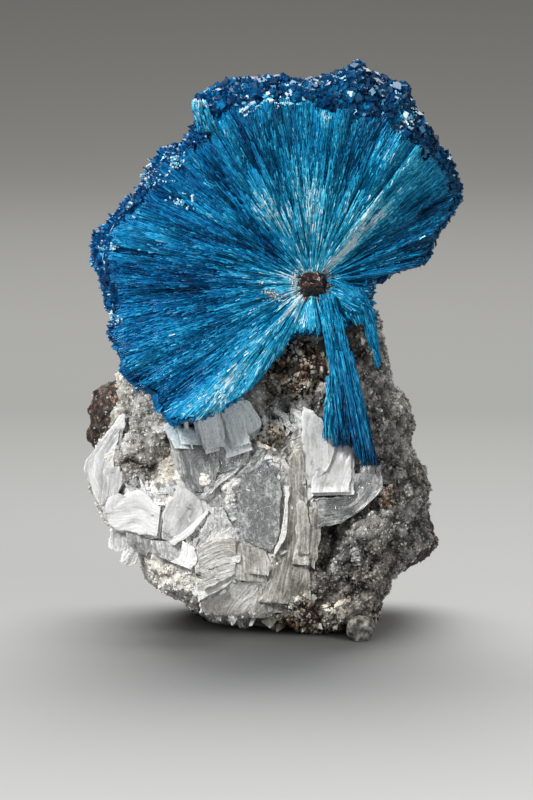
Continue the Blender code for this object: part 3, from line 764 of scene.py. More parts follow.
bundles = {
    "cavansiteLeg": {
        "stands": "cavansite_leg", "count": 3000, "thickness": 0.50, "tone": (0.55, 0.19), "widths": (0.07, 0.14),
        "strands": (
            ((3.4, 27.0, -3.9), (3.7, 25.0, -4.2), (4.3, 22.6, -4.6), (0.55, 0.95), 0.7),
            ((3.7, 25.2, -4.2), (4.4, 22.3, -4.7), (5.1, 18.6, -5.1), (0.75, 1.05), 1.0),
            ((4.7, 22.4, -4.8), (5.6, 18.4, -5.3), (6.65, 13.3, -5.8), (0.70, 0.80), 1.1),
            ((4.1, 20.4, -4.9), (4.4, 18.0, -5.2), (4.75, 14.8, -5.6), (0.75, 0.75), 0.8),
            ((3.75, 19.4, -5.1), (3.45, 17.4, -5.3), (3.65, 15.2, -5.5), (0.30, 0.50), 0.3),
        ),
    },
    "cavansiteWisp": {
        "stands": "cavansite_wisp", "count": 1300, "thickness": 0.26, "tone": (0.52, 0.42), "widths": (0.05, 0.10),
        "strands": (
            ((3.9, 28.2, -3.4), (5.8, 27.6, -3.5), (6.8, 24.9, -3.6), (0.55, 0.85), 1.0),
            ((5.7, 27.6, -3.4), (6.9, 25.4, -3.5), (7.25, 22.6, -3.5), (0.60, 0.34), 0.8),
            ((6.8, 24.9, -3.5), (7.3, 23.2, -3.5), (7.6, 21.2, -3.5), (0.36, 0.16), 0.3),
            ((4.3, 27.2, -3.4), (5.5, 26.4, -3.6), (6.0, 24.6, -3.7), (0.50, 0.35), 0.5),
        ),
    },
    "cavansiteStub": {
        "stands": "cavansite_rosette", "count": 300, "thickness": 0.95, "tone": (0.62, 0.82), "widths": (0.09, 0.17),
        "strands": (
            ((-6.2, 39.9, -6.7), (-6.6, 41.2, -6.9), (-6.9, 42.4, -7.1), (0.74, 0.58), 1.0),
        ),
    },
}


def curved(first, bend, last, share):
    # first * (1 - s)^2 + bend * 2 s (1 - s) + last * s^2
    share = share[:, None]
    return first * (1 - share) ** 2 + bend * 2 * share * (1 - share) + last * share**2


def makeBundle(name, spec, seed):
    rng = np.random.default_rng(seed)
    count, thickness = spec["count"], spec["thickness"]
    firsts, bends, lasts, halfWidths, shares = (np.array(column) for column in zip(*spec["strands"]))
    which = rng.choice(len(shares), count, p=shares / shares.sum())
    first, bend, last, halves = firsts[which], bends[which], lasts[which], halfWidths[which]
    sideways, layer, middle = rng.uniform(-1, 1, count), 1 - 2 * rng.random(count) ** 1.6, rng.random(count)
    clump = np.floor(sideways * 5 + which * 11).astype(np.int64)
    length = rng.uniform(0.16, 0.42, count)
    step = cornerValue(clump, np.floor(middle * 3.5 + cornerValue(clump, 3, 0, seed)).astype(np.int64), 1, seed)
    endAt = 1.0 + 0.05 * cornerValue(clump, 2, 0, seed) + rng.uniform(-0.04, 0.02, count)
    rounded = np.sqrt(np.maximum(1 - 0.8 * sideways**2, 0.05)) * (0.8 + 0.2 * cornerValue(clump, 0, 0, seed))
    ends = []
    for share in (np.maximum(middle - length / 2, 0), np.minimum(middle + length / 2, endAt)):
        spot = curved(first, bend, last, share)
        half = halves[:, 0] + (halves[:, 1] - halves[:, 0]) * share
        depth = spot[:, 2] - thickness * (layer * rounded + 0.3 * step)
        ends.append(seenAt(spot[:, 0] + sideways * half + rng.normal(0, 0.07, count), spot[:, 1], depth))
    widths = rng.uniform(*spec["widths"], count)
    body, faces = crystals(*ends, widths, rng.uniform(0, np.pi, count), 0.8)
    start, end = spec["tone"]
    top, foot = first[:, 1].max(), last[:, 1].min()
    tone = start + (end - start) * (top - curved(first, bend, last, middle)[:, 1]) / (top - foot)
    tone += 0.09 * cornerValue(clump, 1, 0, seed) + 0.10 * step + rng.normal(0, 0.09, count)
    tone += np.where((which == 4) | ((which == 3) & (sideways < -0.7)), 0.25, 0)
    addNeedles(name, body, faces, tone, True, spec["stands"])


for order, (name, spec) in enumerate(bundles.items()):
    makeBundle(name, spec, 70 + order)
print("needle bundles made")

# The rock: basalt behind, granular crust in front.

matrix = {
    "radius": 14.5,
    "centre": (-1.4, 12.0),
    "rim": (
        (0, 0.89), (4, 0.87), (8, 0.84), (16, 0.82), (23, 0.88), (30, 0.89), (39, 0.89), (50, 1.0),
        (59, 1.14), (65, 1.28), (80, 1.32), (92, 1.22), (102, 1.02), (115, 0.88), (130, 0.90), (144, 1.06),
        (154, 1.10), (165, 1.07), (177, 1.01), (193, 0.95), (207, 0.85), (222, 0.88), (235, 0.835),
        (247, 0.85), (263, 0.83), (279, 0.84), (286, 0.92), (294, 1.02), (303, 1.11), (308, 1.03),
        (313, 0.93), (321, 0.92), (330, 0.975), (339, 1.04), (345, 0.97), (356, 0.925),
    ),
    # where the basalt comes out to the rim: (angle, half width, how far the crust stops short)
    "bare": ((158, 17, 0.15), (337, 21, 0.07), (306, 6, 0.06), (285, 8, 0.10), (95, 38, 0.22), (252, 32, 0.0)),
    # basalt that comes through the crust: (across, up, radius, height)
    "knobs": (
        (2.4, 9.0, 2.7, 3.9), (2.3, -11.2, 3.2, 3.4), (5.6, -11.8, 3.2, 3.0), (10.0, -1.2, 1.6, 4.6),
        (0.4, 3.4, 1.5, 4.5),
    ),
    # paler and darker places of the crust: (across, up, radius, change of tone)
    "pale": (
        (2.2, 2.4, 4.0, 0.30), (-3.0, -7.0, 5.5, 0.28), (-5.5, -2.0, 5.0, 0.24), (0.6, -2.5, 3.6, 0.22),
        (-10.6, 0.9, 1.8, -0.18), (-9.0, 4.6, 3.0, -0.12), (-9.5, -7.5, 4.0, 0.22), (2.5, 12.6, 1.6, 0.20),
        (8.6, -2.4, 3.0, 0.14), (5.8, 8.6, 2.2, 0.16), (-9.0, -1.0, 3.0, 0.10),
    ),
    # swellings and hollows of the crust: (across, up, radius, height)
    "swells": (
        (2.4, 9.0, 3.1, -3.4), (9.2, -6.6, 4.6, 2.4), (10.6, 4.2, 3.6, 1.4), (-6.0, -8.4, 4.0, 1.5),
        (7.6, -11.4, 2.6, 1.6), (-9.6, 0.6, 2.8, -1.5), (5.4, -4.2, 2.6, -1.2), (-9.2, 4.2, 2.6, 0.8),
    ),
}
basalt = {
    "rimDepth": 4.4, "front": 6.0, "back": 7.5, "around": 440, "rings": 190,
    "coated": 0.92,  # how far out it comes under the crust
    "specks": 7000, "speckSizes": (0.08, 0.30), "patchGrains": 3400,
}
crust = {
    "rimDepth": 1.6, "front": 6.2, "back": 3.4, "around": 540, "rings": 180,
    "square": 0.66,  # the power of its profile: 1 is round, and less is squarer
    "grains": 24000, "toe": (6.1, -6.1, 0.86), "toeRadius": 0.9,
}


def nearness(table, across, up):
    # for each row (across, up, radius, amount): the distance as a share of the radius, and the amount
    return [(np.hypot(across - x, up - y) / radius, amount) for x, y, radius, amount in table]


def knobHeight(across, up):
    return np.max([top * np.maximum(0, 1 - away**3) for away, top in nearness(matrix["knobs"], across, up)], axis=0)


def knobDistance(points):
    # 0 at the middle of the nearest knob and 1 at its edge
    return np.min([away for away, _ in nearness(matrix["knobs"], points[:, 0], points[:, 2])], axis=0)


def swellHeight(across, up):
    return sum(top * np.maximum(0, 1 - away**2) ** 1.5 for away, top in nearness(matrix["swells"], across, up))


def bareness(angle):
    # how bare the rock is at the rim, and how far the crust stops short of it
    bare, shortfall = np.zeros_like(angle), np.zeros_like(angle)
    for middle, halfWidth, most in matrix["bare"]:
        away = np.abs((angle - middle + 180) % 360 - 180) / halfWidth
        bare = np.maximum(bare, 1 - away**2)
        shortfall = np.maximum(shortfall, most * (1 - away**2))
    return bare, shortfall


def crustRim(angle):
    return (tableAt(matrix["rim"], angle) - bareness(angle)[1]) * matrix["radius"]


def squarish(share, power):
    # distance = sin^power and depth = cos^power of the turn from the front pole to the back one
    turn = share * np.pi
    return np.sin(turn) ** power, -np.sign(np.cos(turn)) * np.abs(np.cos(turn)) ** power


def evenShares(power, width, front, back, count):
    # shares that cut a squarish profile of this half width and these depths into steps of equal length
    fine = np.linspace(0.0, 1.0, 2000)
    distance, depth = squarish(fine, power)
    depth = depth * np.where(fine < 0.5, front, back)
    run = np.concatenate([[0.0], np.cumsum(np.hypot(np.diff(width * distance), np.diff(depth)))])
    return np.interp(np.linspace(0.0, run[-1], count), run, fine)


def basaltShape(angle, share):
    foot = np.maximum(0, -np.sin(np.radians(angle))) ** 6
    size = basalt["coated"] + (0.99 - basalt["coated"]) * bareness(angle)[0] + 0.03 * foot
    rim = tableAt(matrix["rim"], angle) * matrix["radius"] * size
    out, along = squarish(share, 0.62 - 0.22 * foot)
    spot = polar(angle, rim * out, along * 6.0)
    rough = fractalNoise(spot, 3.2, 17, 4)
    distance = rim * out + 0.55 * rough * out
    backDepth = along * basalt["back"] + 1.3 * rough * along
    knobs = knobHeight(spot[..., 0], spot[..., 2]) * np.abs(along) ** 0.3
    return distance, np.where(along > 0, backDepth, along * basalt["front"] + 0.45 * rough - knobs)


def crustShape(angle, share):
    rim = crustRim(angle)
    out, along = squarish(share, crust["square"])
    spot = polar(angle, rim * out, along * 4.0)
    lumps = smoothNoise(spot, 2.2, 93)
    distance = rim * out + (0.4 * lumps + 0.25 * smoothNoise(spot, 1.0, 29)) * out
    lip = 1 + 0.45 * noiseAlong(angle, 24.0, 77)
    relief = 0.9 * lumps + 0.3 * smoothNoise(spot, 1.0, 30) + swellHeight(spot[..., 0], spot[..., 2])
    frontDepth = along * crust["front"] - relief * np.abs(along)
    return distance, np.where(along > 0, along * crust["back"] * lip, frontDepth)


def crustFront(across, up):
    # depth of the crust's front, from the middle of the rock: -(front + swell) * |cos|^square of the turn
    sine = np.minimum(np.hypot(across, up) / crustRim(angleOf(across, up)), 0.93) ** (1 / crust["square"])
    return -(crust["front"] + swellHeight(across, up)) * (1 - sine**2) ** (crust["square"] / 2)


def rockPlace(points, layer):
    return leanBack(points) + seenAt(*matrix["centre"], layer["rimDepth"])


def makeBasalt():
    rng = np.random.default_rng(29)
    shares = evenShares(0.6, 14.0, 7.0, 7.0, basalt["rings"])
    points, faces = polarBall(basaltShape, shares, basalt["around"])
    pits = np.maximum(0, smoothNoise(points, 0.9, 61) - 0.25)
    height = 0.26 * fractalNoise(points, 0.7, 62, 3) - 0.9 * pits + 0.24 * pebbles(points, 0.55, 63) - 0.05
    points = points + vertexNormals(points, faces) * height[:, None]
    addPiece("basaltRock", rockPlace(points, basalt), faces, basaltFinish, ["basalt_host"], smooth=True)

    # specks of zeolite on the bare rock
    spots, out = scatter(points, faces, basalt["specks"] * 2, rng)
    keep = smoothNoise(spots, 1.0, 65) + 0.5 * smoothNoise(spots, 0.4, 66) > 0.05
    spots = rockPlace(spots[keep] + out[keep] * 0.03, basalt)[: basalt["specks"]]
    spots = spots[spots[:, 2] > 0.3]
    body, pieces = grains(bead, spots, rng.uniform(*basalt["speckSizes"], len(spots)), rng)
    tone = rng.uniform(0.1, 0.85, len(spots))
    addPiece("basaltSpecks", body, pieces, crustFinish, ["basalt_host"], tone)

    # grains round the knobs that come through the crust: dark in the middle, tan and white towards the edge
    middle = points[faces].mean(axis=1)
    chance = np.where(middle[:, 1] < 0, 1.3 - knobDistance(middle), 0).clip(0, 1)
    spots, out = scatter(points, faces, basalt["patchGrains"], rng, chance)
    sizes = 0.10 + rng.gamma(1.6, 0.17, len(spots))
    body, pieces = grains(bead, rockPlace(spots + out * 0.05, basalt), sizes, rng)
    pale = 0.85 * knobDistance(spots) ** 1.3 + 0.4 * smoothNoise(spots, 0.8, 67) + 0.35 * smoothNoise(spots, 0.35, 68)
    tone = 0.22 + np.clip(pale, 0, 0.85) + rng.uniform(-0.08, 0.14, len(spots)) + 0.14 * (spots[:, 2] < -8.0)
    addPiece("patchGrains", body, pieces, rustyFinish, ["basalt_host"], tone, lowest=0.1)


def crustRelief(points):
    # height of the lumps and their tone: pale on the lumps and dark in the creases as painted shade, paler to the
    # left as painted light
    big, small = pebbles(points, 1.3, 71), pebbles(points, 0.50, 72)
    rough = fractalNoise(points, 0.6, 73, 2)
    # painted shade: dark in the creases between the lumps
    tone = 0.05 + 0.62 * (big * (0.30 + 0.70 * small)) ** 1.3 + 0.12 * rough + 0.10 * smoothNoise(points, 2.6, 74)
    # painted light: paler towards the left, where the key lamp falls
    tone += 0.25 * np.clip(-(points[..., 0] - 2.0) / 6.0, -0.2, 1.0)
    for away, lift in nearness(matrix["pale"], points[..., 0], points[..., 2]):
        tone += lift * np.maximum(0, 1 - away**2)
    return 0.80 * big + 0.30 * small + 0.10 * rough - 0.72, tone


def addCrust(name, points, faces, tone, smooth=False, lowest=0.0):
    addPiece(name, points, faces, crustFinish, ["zeolite_crust"], tone, smooth, lowest=lowest)


def makeCrust():
    rng = np.random.default_rng(23)
    shares = evenShares(crust["square"], 14.5, 6.0, 2.0, crust["rings"])
    points, faces = polarBall(crustShape, shares, crust["around"])
    height, tone = crustRelief(points)
    points = points + vertexNormals(points, faces) * height[:, None]
    addCrust("crustBase", rockPlace(points, crust), faces, tone - 0.03, True, 0.25)

    spots, out = scatter(points, faces, crust["grains"] * 3, rng)
    keep = (spots[:, 1] < 1.5) & (pebbles(spots, 1.1, 71) > rng.uniform(0.2, 0.9, len(spots)))
    spots, out = spots[keep][: crust["grains"]], out[keep][: crust["grains"]]
    sizes = rng.gamma(4.0, 0.050, len(spots)) + 0.08
    tone = 0.13 + crustRelief(spots)[1] + rng.normal(0, 0.12, len(spots))
    body, pieces = grains(bead, rockPlace(spots + out * 0.03, crust), sizes, rng)
    addCrust("crustGrains", body, pieces, tone, lowest=0.2)


def makeToe():
    # the small round lump that the lower right corner stands on
    points, faces = plainBall(crust["toeRadius"], 1.0, 60)
    height, tone = crustRelief(points * 1.4 + [9.0, 0.0, -12.0])
    addCrust("crustToe", points * (1.15 + 0.45 * height[:, None]) + crust["toe"], faces, tone + 0.05, True, 0.02)


makeBasalt()
makeCrust()
makeToe()
print("rock made")

# The lump of rock in the middle of the rosette.

nucleus = {
    "radius": 1.12, "flat": 0.75, "rough": 0.34, "ringGrains": 420,
    "crumbs": ((-3.0, -1.0, 0.40, 60), (-3.5, -0.8, 0.25, 20), (-4.1, 0.0, 0.12, 8)),  # (across, up, spread, number)
}


def makeNucleus():
    rng = np.random.default_rng(31)
    radius, count = nucleus["radius"], nucleus["ringGrains"]
    points, faces = plainBall(radius, nucleus["flat"], 50)
    points = points * (0.96 + nucleus["rough"] * fractalNoise(points, 0.6, 81, 4)[:, None])
    points = points + seenAt(*rosette["centre"]) + [0, 0.1, 0]
    addPiece("nucleusGrain", points, faces, nucleusFinish, ["nucleus_grain"], smooth=True)

    angle = rng.uniform(0, 2 * np.pi, count)
    distance = 1.25 + np.abs(rng.normal(0, 0.28, count)) + 0.15 * np.cos(angle - 2.2)
    depth = -0.15 - 0.2 * rng.random(count) - nucleus["flat"] * np.sqrt(np.maximum(radius**2 - distance**2, 0))
    spots = stacked(distance * np.cos(angle), depth, distance * np.sin(angle))
    body, pieces = grains(bead, rosettePlace(spots), rng.uniform(0.08, 0.24, count), rng)
    tone = rng.uniform(0.05, 0.6, count) + 0.4 * (np.cos(angle - 2.2) > 0.3)
    addPiece("nucleusRim", body, pieces, crustFinish, ["nucleus_grain"], tone)

    spots = np.concatenate([
        rng.normal((across, 0.0, up), (spread, 0.05, 0.6 * spread), (crumbs, 3))
        for across, up, spread, crumbs in nucleus["crumbs"]
    ])
    far, at = np.hypot(spots[:, 0], spots[:, 2]), angleOf(spots[:, 0], spots[:, 2])
    spots[:, 1] += faceDepth(at, far) - 0.2
    body, pieces = grains(bead, rosettePlace(spots), rng.uniform(0.10, 0.28, len(spots)), rng)
    tone = rng.uniform(0.2, 0.95, len(spots))
    addPiece("rosetteCrumbs", body, pieces, crustFinish, ["cavansite_rosette"], tone)


makeNucleus()
print("nucleus made")

# The blades: for each group the node it stands for, the slot and the blades. Each blade is (left edge, right
# edge, tone, thickness, lift at root and tip, layers), with the edges as (across, up) points from root to tip,
# and the lift measured from the crust.

bladeGroups = {
    "leftSheaf": ("left_sheaf", "stilbite", (
        (((-15.0, 9.7), (-15.7, 11.3), (-16.2, 12.6), (-15.7, 13.9), (-14.7, 15.4), (-13.3, 17.4)),
         ((-14.5, 9.4), (-13.8, 10.9), (-13.3, 12.2), (-13.6, 13.4), (-13.4, 15.2), (-13.0, 17.3)),
         0.85, 1.6, (0.5, 0.3), 3),
        (((-14.9, 10.0), (-14.7, 11.3), (-14.6, 12.8)), ((-13.9, 10.4), (-13.4, 11.8), (-13.5, 13.0)),
         0.55, 1.2, (0.9, 0.7), 2),
        (((-14.6, 9.3), (-14.4, 10.3), (-13.7, 10.9)), ((-13.3, 9.0), (-12.7, 9.9), (-13.0, 10.6)),
         0.75, 1.4, (0.8, 0.8), 1),
    )),
    "whiteSheaf": ("white_sheaf", "stilbite", (
        (((-14.8, 9.4), (-14.5, 10.0), (-13.4, 10.4), (-11.8, 10.8), (-10.5, 9.8), (-9.6, 9.4)),
         ((-14.7, 8.9), (-14.0, 8.0), (-12.9, 7.8), (-11.9, 7.5), (-10.8, 7.4), (-9.7, 7.5)),
         0.95, 2.0, (0.9, 0.8), 3),
        (((-9.9, 7.3), (-9.8, 8.7), (-9.3, 9.9), (-8.7, 10.9), (-8.4, 12.2)),
         ((-9.0, 6.9), (-7.7, 7.7), (-6.6, 8.9), (-6.6, 10.1), (-8.2, 12.1)),
         0.72, 1.4, (1.1, 0.8), 3),
        (((-9.5, 7.0), (-8.3, 7.7), (-7.1, 8.8), (-6.4, 9.6)),
         ((-9.2, 6.7), (-7.9, 7.4), (-6.8, 8.5), (-6.2, 9.5)),
         1.0, 0.8, (1.5, 1.4), 1),
    )),
    "greyBlade": ("grey_blade", "clear_zeolite", (
        (((-9.3, 15.9), (-9.0, 14.7), (-8.5, 12.6), (-7.8, 11.4), (-6.9, 10.7)),
         ((-5.8, 14.7), (-5.6, 13.4), (-5.8, 12.3), (-6.2, 11.3), (-6.7, 10.6)),
         0.10, 1.3, (0.9, 1.5), 3),
        (((-5.9, 14.7), (-5.8, 13.4), (-5.3, 12.5)), ((-3.1, 14.6), (-3.4, 13.5), (-5.1, 12.5)),
         0.14, 1.2, (0.7, 1.3), 2),
        (((-9.1, 17.0), (-8.7, 15.8), (-8.4, 14.9)), ((-8.8, 17.0), (-8.4, 15.8), (-8.2, 14.9)),
         1.0, 0.8, (1.5, 1.7), 1),
        (((-8.4, 17.2), (-8.0, 15.8), (-7.6, 14.5)), ((-8.1, 17.2), (-7.7, 15.8), (-7.4, 14.5)),
         1.0, 0.8, (1.5, 1.7), 1),
        (((-7.6, 16.8), (-7.2, 15.8), (-7.0, 15.0)), ((-7.2, 16.8), (-6.9, 15.8), (-6.8, 15.0)),
         1.0, 0.8, (1.5, 1.7), 1),
    )),
    "frostedCrystal": ("frosted_crystal", "stilbite", (
        (((-7.0, 18.6), (-7.1, 16.9), (-6.9, 15.5), (-6.4, 14.2)),
         ((-5.8, 18.7), (-5.3, 17.1), (-5.0, 15.6), (-5.1, 14.5)),
         0.95, 1.7, (1.4, 1.3), 2),
        (((-6.0, 18.6), (-5.5, 17.0), (-5.0, 15.4), (-4.6, 13.9)),
         ((-4.4, 18.5), (-3.6, 17.2), (-3.1, 15.8), (-2.8, 14.5)),
         1.0, 1.9, (1.7, 1.5), 2),
        (((-4.8, 18.4), (-4.0, 17.3), (-3.4, 16.3), (-2.9, 15.2)),
         ((-3.4, 18.6), (-2.6, 17.7), (-2.1, 16.8), (-2.0, 15.9)),
         1.0, 1.6, (1.3, 0.9), 2),
        (((-9.7, 16.5), (-9.3, 15.6), (-8.8, 14.6)), ((-6.4, 16.0), (-5.9, 15.3), (-5.8, 14.5)),
         0.50, 1.6, (1.0, 1.3), 2),
    )),
    "clearPlate": ("clear_plate", "clear_zeolite", (
        (((-2.3, 6.6), (-3.8, 7.4), (-4.6, 8.7), (-5.3, 10.4), (-4.9, 12.0), (-3.6, 13.4), (-2.8, 14.2)),
         ((-1.1, 5.8), (-0.3, 7.3), (0.0, 9.1), (0.2, 11.2), (-0.5, 12.5), (-1.4, 13.5), (-2.4, 14.2)),
         0.16, 1.4, (0.8, 0.7), 3),
        (((-7.2, 10.9), (-5.9, 12.2), (-4.3, 13.1), (-3.2, 13.9)),
         ((-6.6, 10.4), (-5.6, 11.4), (-4.5, 12.3), (-3.0, 13.5)),
         0.35, 1.2, (1.1, 1.0), 2),
        (((-7.2, 5.8), (-6.9, 7.7), (-6.3, 9.3)), ((-3.9, 7.0), (-4.5, 8.4), (-5.2, 9.7)),
         0.45, 1.3, (0.7, 0.8), 2),
    )),
    "clearColumn": ("clear_column", "clear_zeolite", (
        (((0.7, 15.6), (0.3, 12.8), (0.2, 10.8), (-0.1, 8.7), (-0.5, 6.5), (-1.2, 4.3), (-2.2, 1.8), (-2.3, 0.9)),
         ((1.3, 15.6), (1.5, 12.8), (1.8, 10.0), (1.9, 7.1), (1.9, 5.1), (1.9, 3.1), (1.7, 1.6), (1.1, 0.8)),
         0.36, 1.9, (0.8, 1.0), 2),
        (((0.0, 11.5), (-0.1, 9.1), (-0.4, 7.3), (-1.1, 5.8)), ((0.3, 11.5), (0.2, 9.0), (-0.1, 7.1), (-0.9, 5.7)),
         1.0, 1.2, (1.0, 1.0), 1),
        (((1.1, 10.8), (1.0, 7.9), (0.7, 5.3)), ((1.7, 10.4), (1.9, 7.9), (1.8, 5.2)),
         0.45, 1.2, (1.4, 1.4), 2),
        (((1.9, 10.1), (1.9, 7.9), (1.8, 5.3)), ((3.0, 10.0), (2.8, 7.5), (2.4, 4.9)),
         0.30, 1.2, (0.8, 0.8), 2),
    )),
    "whiteBlade": ("white_blade", "stilbite", (
        (((3.7, 15.1), (3.1, 13.9), (2.6, 12.4), (2.2, 10.8)), ((5.3, 15.1), (5.4, 13.6), (5.4, 12.2), (5.3, 10.9)),
         0.84, 1.6, (0.7, 1.4), 3),
        (((1.5, 17.7), (1.3, 15.2), (1.5, 12.8), (1.9, 10.5)), ((2.3, 17.5), (3.5, 16.0), (3.8, 14.4), (3.0, 11.6)),
         0.65, 1.4, (0.7, 1.0), 2),
    )),
    "clearBladeRight": ("clear_blade_right", "clear_zeolite", (
        (((5.6, 12.9), (5.4, 11.7), (4.8, 10.6), (3.5, 10.4), (2.2, 10.3)),
         ((7.5, 13.0), (7.7, 11.4), (6.2, 9.8), (4.5, 8.7), (2.8, 8.3)),
         0.16, 1.3, (0.9, 1.2), 3),
    )),
    "lowerSheaf": ("lower_sheaf", "stilbite", (
        (((-3.7, 7.1), (-5.1, 7.2), (-6.2, 6.8), (-7.3, 6.2)), ((-3.7, 5.5), (-4.9, 5.3), (-6.1, 4.9), (-7.2, 4.5)),
         0.72, 1.5, (0.9, 1.2), 3),
        (((-3.8, 5.3), (-5.3, 4.9), (-6.4, 4.5), (-7.3, 4.3)), ((-4.0, 4.0), (-5.1, 3.3), (-6.1, 2.8), (-7.0, 2.3)),
         0.82, 1.5, (0.9, 1.3), 3),
        (((-3.6, 4.0), (-5.6, 2.7), (-6.6, 1.8), (-6.2, 0.8)), ((-1.4, 3.9), (-1.3, 2.3), (-1.7, 1.2), (-3.6, 0.6)),
         0.86, 1.6, (0.8, 0.9), 3),
        (((-6.2, 7.0), (-5.9, 7.6), (-5.1, 7.9)), ((-3.9, 7.0), (-3.9, 7.5), (-4.4, 8.1)),
         0.95, 1.0, (1.3, 1.2), 1),
        (((-3.9, 7.1), (-4.0, 5.5), (-3.7, 3.9)), ((-1.9, 6.5), (-1.4, 5.1), (-1.5, 3.7)),
         0.50, 1.4, (0.6, 0.7), 2),
    )),
    "smallPlates": ("small_plates", "clear_zeolite", (
        (((-12.7, 7.6), (-12.6, 6.7), (-12.0, 6.1)), ((-10.9, 7.3), (-10.8, 6.6), (-11.3, 5.8)),
         0.40, 0.9, (0.9, 1.3), 1),
        (((-10.8, 7.0), (-10.9, 6.3), (-10.1, 5.7)), ((-8.7, 6.9), (-8.3, 6.2), (-9.1, 5.4)),
         0.38, 0.9, (0.9, 1.3), 1),
        (((-14.2, 7.9), (-14.3, 6.7), (-13.9, 6.1)), ((-12.7, 7.6), (-12.6, 6.7), (-13.1, 6.2)),
         0.60, 0.9, (0.7, 1.0), 1),
        (((-8.2, 6.9), (-8.5, 5.8), (-9.1, 5.3)), ((-7.3, 6.4), (-7.2, 5.5), (-7.7, 4.8)),
         0.85, 0.9, (0.9, 1.3), 1),
        (((-12.7, 6.6), (-13.2, 5.8), (-13.4, 5.3)), ((-11.9, 6.1), (-12.1, 5.3), (-12.8, 4.9)),
         0.70, 0.9, (0.7, 1.0), 1),
    )),
}


blades = {
    "along": 56, "across": 34,  # points on each face
    "widen": 0.16,  # how much wider than the edges given above
    "lift": 0.48,  # share of the lifts given above
    "darker": 0.05,
    "layerStep": 0.38,  # share of a layer's thickness by which it stands before the next
    "trims": (0.06, 0.30),  # how far the front layers are cut back at a side, and 0.4 and 0.7 of it at the ends
    "sharpAngle": 32,
    "lowest": 0.15,
    "sugarGrains": 2400, "sugarSizes": (0.06, 0.13),
    "shards": 1300,  # small blades on and between the large ones
    "shardLengths": (0.5, 2.1), "shardWidths": (0.18, 0.42), "shardThickness": (0.07, 0.20),
    "shardFoot": (-3.8, -9.6, 3.2),  # (across, up, radius) of those that lie on the large blades
    # where the others lie on the crust: (across, up, radius)
    "shardPlaces": (
        (-3.0, -6.5, 4.8), (1.8, 2.2, 3.2), (-9.5, -3.4, 3.2), (-3.0, -7.5, 4.0), (-4.6, -1.4, 3.4), (0.2, -0.6, 3.0),
    ),
}
bladeFinishes = {
    "clearPlate": clearFinish, "frostedCrystal": frostedFinish, "clearColumn": warmFinish, "lowerSheaf": warmFinish,
    "leftSheaf": pearlFinish, "whiteSheaf": pearlFinish, "whiteBlade": pearlFinish,
}


def smoothPath(corners, shares):
    # a curve through the corners: each stretch is a cubic whose slopes are half the span of its neighbours
    corners = np.array(corners, dtype=float)
    padded = np.concatenate([2 * corners[:1] - corners[1:2], corners, 2 * corners[-1:] - corners[-2:-1]])
    at = shares * (len(corners) - 1)
    k = np.clip(at.astype(int), 0, len(corners) - 2)
    f = (at - k)[:, None]
    a, b, c, d = (padded[k + n] for n in range(4))
    return 0.5 * (2 * b + (c - a) * f + (2 * a - 5 * b + 4 * c - d) * f**2 + (3 * b - a - 3 * c + d) * f**3)


def slabFaces(along, around):
    # faces of a closed tube of rings whose second half runs back along the first, with a cap at each end
    k, ring = np.arange(around), (np.arange(along - 1) * around)[:, None]
    a, b = (ring + k).ravel(), (ring + (k + 1) % around).ravel()
    i = np.arange(around // 2 - 1)
    cap = np.concatenate([
        np.stack([i, around - 1 - i, around - 2 - i], 1), np.stack([i, around - 2 - i, i + 1], 1),
    ])
    return np.concatenate([
        np.stack([a, b, b + around], 1), np.stack([a, b + around, a + around], 1),
        cap, cap[:, ::-1] + (along - 1) * around,
    ])


